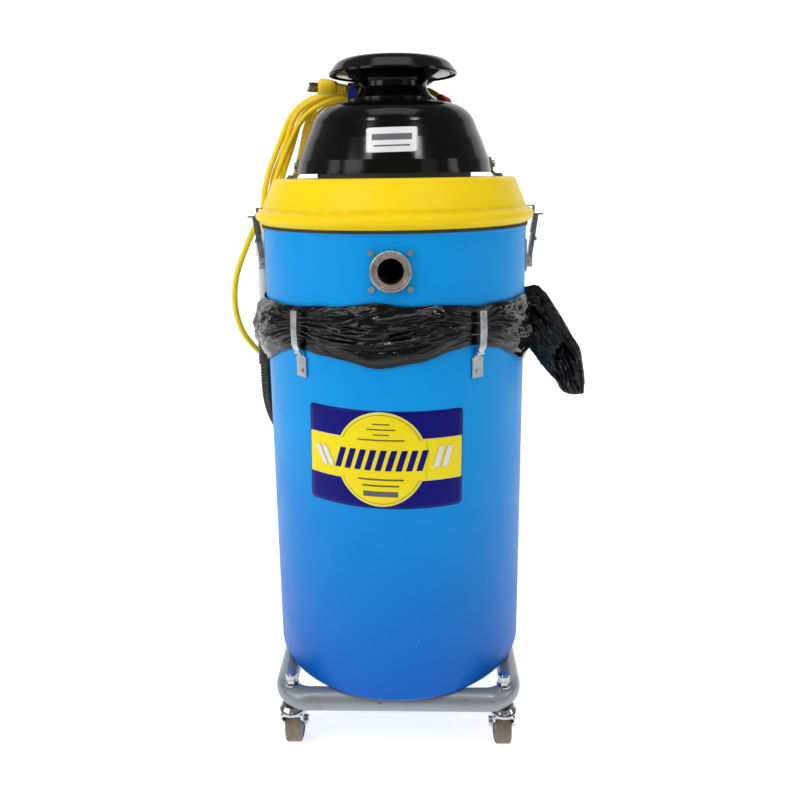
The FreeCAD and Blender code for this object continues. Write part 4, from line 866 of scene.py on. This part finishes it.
def make_tail():
    """The loose gathered end, creased all over, with a hollow pushed into its front."""
    steps = 130
    around = 200
    rings = []
    for k in range(steps + 1):
        share = k / steps
        outer_x, outer_z, inner_x, inner_z, depth = (
            smooth_value([row[a] * MM for row in TAIL], share) for a in range(5)
        )
        outer = Vector((outer_x, TAIL_MIDDLE, outer_z))
        inner = Vector((inner_x, TAIL_MIDDLE, inner_z))
        middle = (outer + inner) / 2
        half = (outer - inner) / 2
        ring = []
        for j in range(around):
            angle = 2 * math.pi * j / around
            a, b = math.cos(angle), math.sin(angle)
            fold = ridges(a * 1.6, b * 1.1, share * 1.6, 41) * 0.5
            fold += ridges(a * 4.2, b * 2.6, share * 3.8, 53) * 0.32
            fold += ridges(a * 10, b * 6, share * 9, 67) * 0.12
            size = 0.84 + 0.24 * fold
            deep = 0.55 + 0.62 * fold
            point = middle + half * (a * size) + Vector((0, b * depth * deep, 0))
            mouth = math.exp(
                -(((point.x - MOUTH_X) / 0.011) ** 2 + ((point.z - MOUTH_Z) / 0.021) ** 2)
            )
            if b < 0:
                point.y += mouth * depth * 0.95 * -b
            ring.append(point)
        rings.append(ring)
    points, faces = rings_to_mesh(rings)
    tail = mesh_object("bag_film_tail", points, faces, "base")
    dress(tail, FILM)
    return tail


cuff = make_cuff()
tail = make_tail()


# ---------------------------------------------------------------- decal, label, small details

DECAL_TURN = math.radians(-1.0)
DECAL_HEIGHT = 0.4770
DECAL_AZIMUTH = math.radians(-3.8)
BARREL_FOOT = 0.112
BARREL_TALL = 0.567
FOOT_RADIUS = 0.198
RIM_RADIUS = 0.2038


def wrap(across, up, lift):
    """A point on the barrel's wall from its place on the flat decal."""
    x = across * math.cos(DECAL_TURN) - up * math.sin(DECAL_TURN)
    y = across * math.sin(DECAL_TURN) + up * math.cos(DECAL_TURN)
    height = DECAL_HEIGHT + y
    radius = FOOT_RADIUS + (RIM_RADIUS - FOOT_RADIUS) * (height - BARREL_FOOT) / BARREL_TALL + lift
    angle = DECAL_AZIMUTH + x / radius
    return Vector((math.sin(angle) * radius, -math.cos(angle) * radius, height))


def patch(name, outline, look, lift, rings=14, place=wrap, body="base"):
    """A thin printed shape on the wall: its outline shrunk in rings to its middle."""
    middle_across = sum(p[0] for p in outline) / len(outline)
    middle_up = sum(p[1] for p in outline) / len(outline)
    layers = []
    for k in range(rings):
        share = 1 - k / rings
        layers.append([
            place(middle_across + (a - middle_across) * share, middle_up + (b - middle_up) * share, lift)
            for a, b in outline
        ])
    edge = [place(a, b, lift - 0.0003) for a, b in outline]
    points = [p for layer in [edge, *layers] for p in layer]
    count = len(outline)
    faces = []
    for k in range(rings):
        for j in range(count):
            after = (j + 1) % count
            faces.append(
                (k * count + j, k * count + after, (k + 1) * count + after, (k + 1) * count + j)
            )
    points.append(place(middle_across, middle_up, lift))
    for j in range(count):
        faces.append((rings * count + j, rings * count + (j + 1) % count, len(points) - 1))
    return dress(mesh_object(name, points, faces, body), look)


def rounded_box(half_width, half_height, corner, centre=(0, 0), lean=0.0, steps=9, side_steps=16):
    """The outline of a box with round corners, its sides cut into short pieces."""
    outline = []
    corners = [(1, 1, 0), (-1, 1, 90), (-1, -1, 180), (1, -1, 270)]
    for k, (sx, sy, start) in enumerate(corners):
        for m in range(steps + 1):
            angle = math.radians(start + 90 * m / steps)
            outline.append((
                sx * (half_width - corner) + corner * math.cos(angle),
                sy * (half_height - corner) + corner * math.sin(angle),
            ))
        last = outline[-1]
        nx, ny, nstart = corners[(k + 1) % 4]
        first = (
            nx * (half_width - corner) + corner * math.cos(math.radians(nstart)),
            ny * (half_height - corner) + corner * math.sin(math.radians(nstart)),
        )
        for m in range(1, side_steps):
            t = m / side_steps
            outline.append((last[0] + (first[0] - last[0]) * t, last[1] + (first[1] - last[1]) * t))
    return [(centre[0] + a + lean * b, centre[1] + b) for a, b in outline]


def disc(radius, centre, count=120):
    """A round outline, drawn a little narrower than it is tall."""
    return [
        (centre[0] + 0.95 * radius * math.cos(2 * math.pi * k / count),
         centre[1] + radius * math.sin(2 * math.pi * k / count))
        for k in range(count)
    ]


def make_decal():
    """The front decal: a navy ground, a yellow band and circle, and stripes with no lettering."""
    half_width, half_height = 0.1135, 0.0705
    centre = (-0.004, 0.001)
    patch("decal_ground", rounded_box(half_width, half_height, 0.007), NAVY, 0.0004)
    patch("decal_band_rim", rounded_box(half_width - 0.0012, 0.0304, 0.002, (0, 0.0003)),
          PALE, 0.0006)
    patch("decal_band", rounded_box(half_width - 0.0022, 0.0290, 0.0018, (0, 0.0003)),
          DECAL_YELLOW, 0.0008)
    patch("decal_circle_rim", disc(0.0682, centre), PALE, 0.001)
    patch("decal_circle", disc(0.0668, centre), DECAL_YELLOW, 0.0012)
    patch("decal_ring", disc(0.0645, centre), OLIVE, 0.0014)
    patch("decal_middle", disc(0.0637, centre), DECAL_YELLOW, 0.0016)
    patch("decal_inner_band", rounded_box(0.0640, 0.0286, 0.001, (centre[0], 0.0003)),
          DECAL_YELLOW, 0.00165)
    for k in range(9):
        across = -0.062 + 0.0145 * k
        patch(f"decal_slant_{k}", rounded_box(0.0044, 0.0148, 0.0012, (across, 0.0002), 0.3),
              NAVY, 0.0019, rings=5)
    for k in range(2):
        slant = rounded_box(0.0042, 0.0150, 0.0012, (0.0775 + 0.013 * k, 0.0040), 0.3)
        patch(f"decal_pale_slant_{k}", slant, WHITE_LABEL, 0.0019, rings=5)
        leaf = rounded_box(0.0040, 0.0140, 0.0035, (-0.093 + 0.011 * k, -0.0010), -0.5)
        patch(f"decal_pale_leaf_{k}", leaf, WHITE_LABEL, 0.0019, rings=5)
    rules = ((0.012, 0.052), (0.020, 0.0445), (0.011, 0.037), (0.033, 0.0295))
    for k, (half, up) in enumerate(rules):
        patch(f"decal_rule_{k}", rounded_box(half, 0.00085, 0.0008, (centre[0], up)),
              OLIVE, 0.0019, rings=2)
    for k, (half, up) in enumerate(((0.032, -0.0275), (0.026, -0.0365))):
        patch(f"decal_line_{k}", rounded_box(half, 0.0012, 0.001, (centre[0], up)),
              OLIVE, 0.0019, rings=2)
    patch("decal_bar", rounded_box(0.0245, 0.0038, 0.0008, (centre[0], -0.0485)),
          INK, 0.0019, rings=3)


LABEL_HEIGHT = 0.9135
LABEL_RIGHT = 0.0015
LABEL_TILT = 0.02


def make_label():
    """The small label, laid on the dome's front by casting each point onto it from outside."""
    dome = nodes["motor_dome"].data
    tree = BVHTree.FromPolygons([v.co for v in dome.vertices], [p.vertices[:] for p in dome.polygons])

    def on_dome(across, up, lift):
        start = Vector((LABEL_RIGHT + across, -0.3, LABEL_HEIGHT + up + LABEL_TILT * across))
        hit, facing = tree.ray_cast(start, Vector((0, 1, 0)))[:2]
        return hit + facing * lift

    patch("dome_label", rounded_box(0.0355, 0.0172, 0.003), WHITE_LABEL, 0.0006,
          place=on_dome, body="head")
    patch("dome_label_bar", rounded_box(0.0275, 0.0042, 0.001, (0, 0.0038)), INK, 0.0009,
          place=on_dome, body="head")
    patch("dome_label_line", rounded_box(0.025, 0.0010, 0.0008, (0, -0.0082)), INK, 0.0009,
          rings=3, place=on_dome, body="head")


def make_screw(name, place, normal, radius, body, look=ZINC):
    """A small round-head screw with a cross slot."""
    facing = Vector((0, 0, 1)).rotation_difference(Vector(normal)).to_matrix().to_4x4()
    where = Matrix.Translation(Vector(place)) @ facing
    rings = []
    for size, height in ((1, -0.4), (1, 0.1), (0.94, 0.35), (0.75, 0.55), (0.5, 0.66), (0.3, 0.68)):
        ring = []
        for j in range(48):
            angle = 2 * math.pi * j / 48
            cross = abs(math.sin(2 * angle)) < 0.35 and size < 0.6
            drop = 0.3 if cross else 0
            point = Vector((math.cos(angle) * size, math.sin(angle) * size, height - drop))
            ring.append(where @ (point * radius))
        rings.append(ring)
    points, faces = rings_to_mesh(rings)
    return dress(mesh_object(name, points, faces, body), look)


make_decal()
make_label()
make_screw("lid_screw", (-0.2105, -0.045, 0.8055), (-0.98, -0.2, 0.0), 0.0034, "head", LATCH)


# ---------------------------------------------------------------- studio


def make_studio():
    """A pale floor that curves up into a pale back wall, and soft lights."""
    half = 6
    profile = [(-4, 0), (2.2, 0)]
    for k in range(1, 13):
        angle = math.radians(90 * k / 12)
        profile.append((2.2 + 1.6 * math.sin(angle), 1.6 - 1.6 * math.cos(angle)))
    profile.append((3.8, 5))
    points = []
    for y, z in profile:
        points += [(-half, y, z), (half, y, z)]
    faces = [(2 * k, 2 * k + 1, 2 * k + 3, 2 * k + 2) for k in range(len(profile) - 1)]
    mesh = bpy.data.meshes.new("floor")
    mesh.from_pydata(points, [], faces)
    for polygon in mesh.polygons:
        polygon.use_smooth = True
    floor = bpy.data.objects.new("floor", mesh)
    scene.collection.objects.link(floor)
    pale = Look("floor_pale")
    pale.set(Roughness=0.9, Specular_IOR_Level=0.1, Emission_Color=(1, 1, 1, 1))
    glow = pale.level(pale.parts()["Y"], -0.9, -0.25, 0.3, 0.72)
    pale.link(glow, pale.shader.inputs["Emission Strength"])
    pale.colour(pale.mix(pale.noise(2, 2), (0.8, 0.8, 0.8, 1), (0.78, 0.78, 0.78, 1)))
    floor.data.materials.append(pale.material)

    world = bpy.data.worlds.new("studio")
    scene.world = world
    world.use_nodes = True
    tree = world.node_tree
    background = next(n for n in tree.nodes if n.type == "BACKGROUND")
    background.inputs["Strength"].default_value = 0.24
    background.inputs["Color"].default_value = (1, 1, 1, 1)

    # Each light: its name, place, aim, width, height and power.
    lights = [
        ("key_left", (-1.5, -1.5, 1.5), (0, 0, 0.7), 0.8, 1.5, 14),
        ("side_left", (-1.9, -0.7, 1.15), (0, 0, 0.9), 0.5, 0.9, 4),
        ("side_right", (1.9, -0.6, 1.15), (0, 0, 0.9), 0.4, 0.9, 3.5),
        ("fill_right", (1.5, -1.7, 1.1), (0, 0, 0.6), 0.7, 1.4, 2),
        ("top", (0.0, -0.6, 2.7), (0, 0, 0.6), 1.6, 0.9, 10),
        ("spot_left", (-0.62, -1.0, 1.9), (0, 0, 0.9), 0.2, 0.16, 3.2),
        ("spot_right", (0.66, -1.0, 1.9), (0, 0, 0.9), 0.2, 0.16, 3.2),
    ]
    for name, where, target, wide, tall, power in lights:
        data = bpy.data.lights.new(name, "AREA")
        data.shape = "RECTANGLE"
        data.size = wide
        data.size_y = tall
        data.energy = power
        light = bpy.data.objects.new(name, data)
        scene.collection.objects.link(light)
        light.location = where
        light.rotation_euler = (Vector(target) - Vector(where)).to_track_quat("-Z", "Y").to_euler()


make_studio()
scene.view_settings.view_transform = "Standard"

bpy.context.view_layer.update()
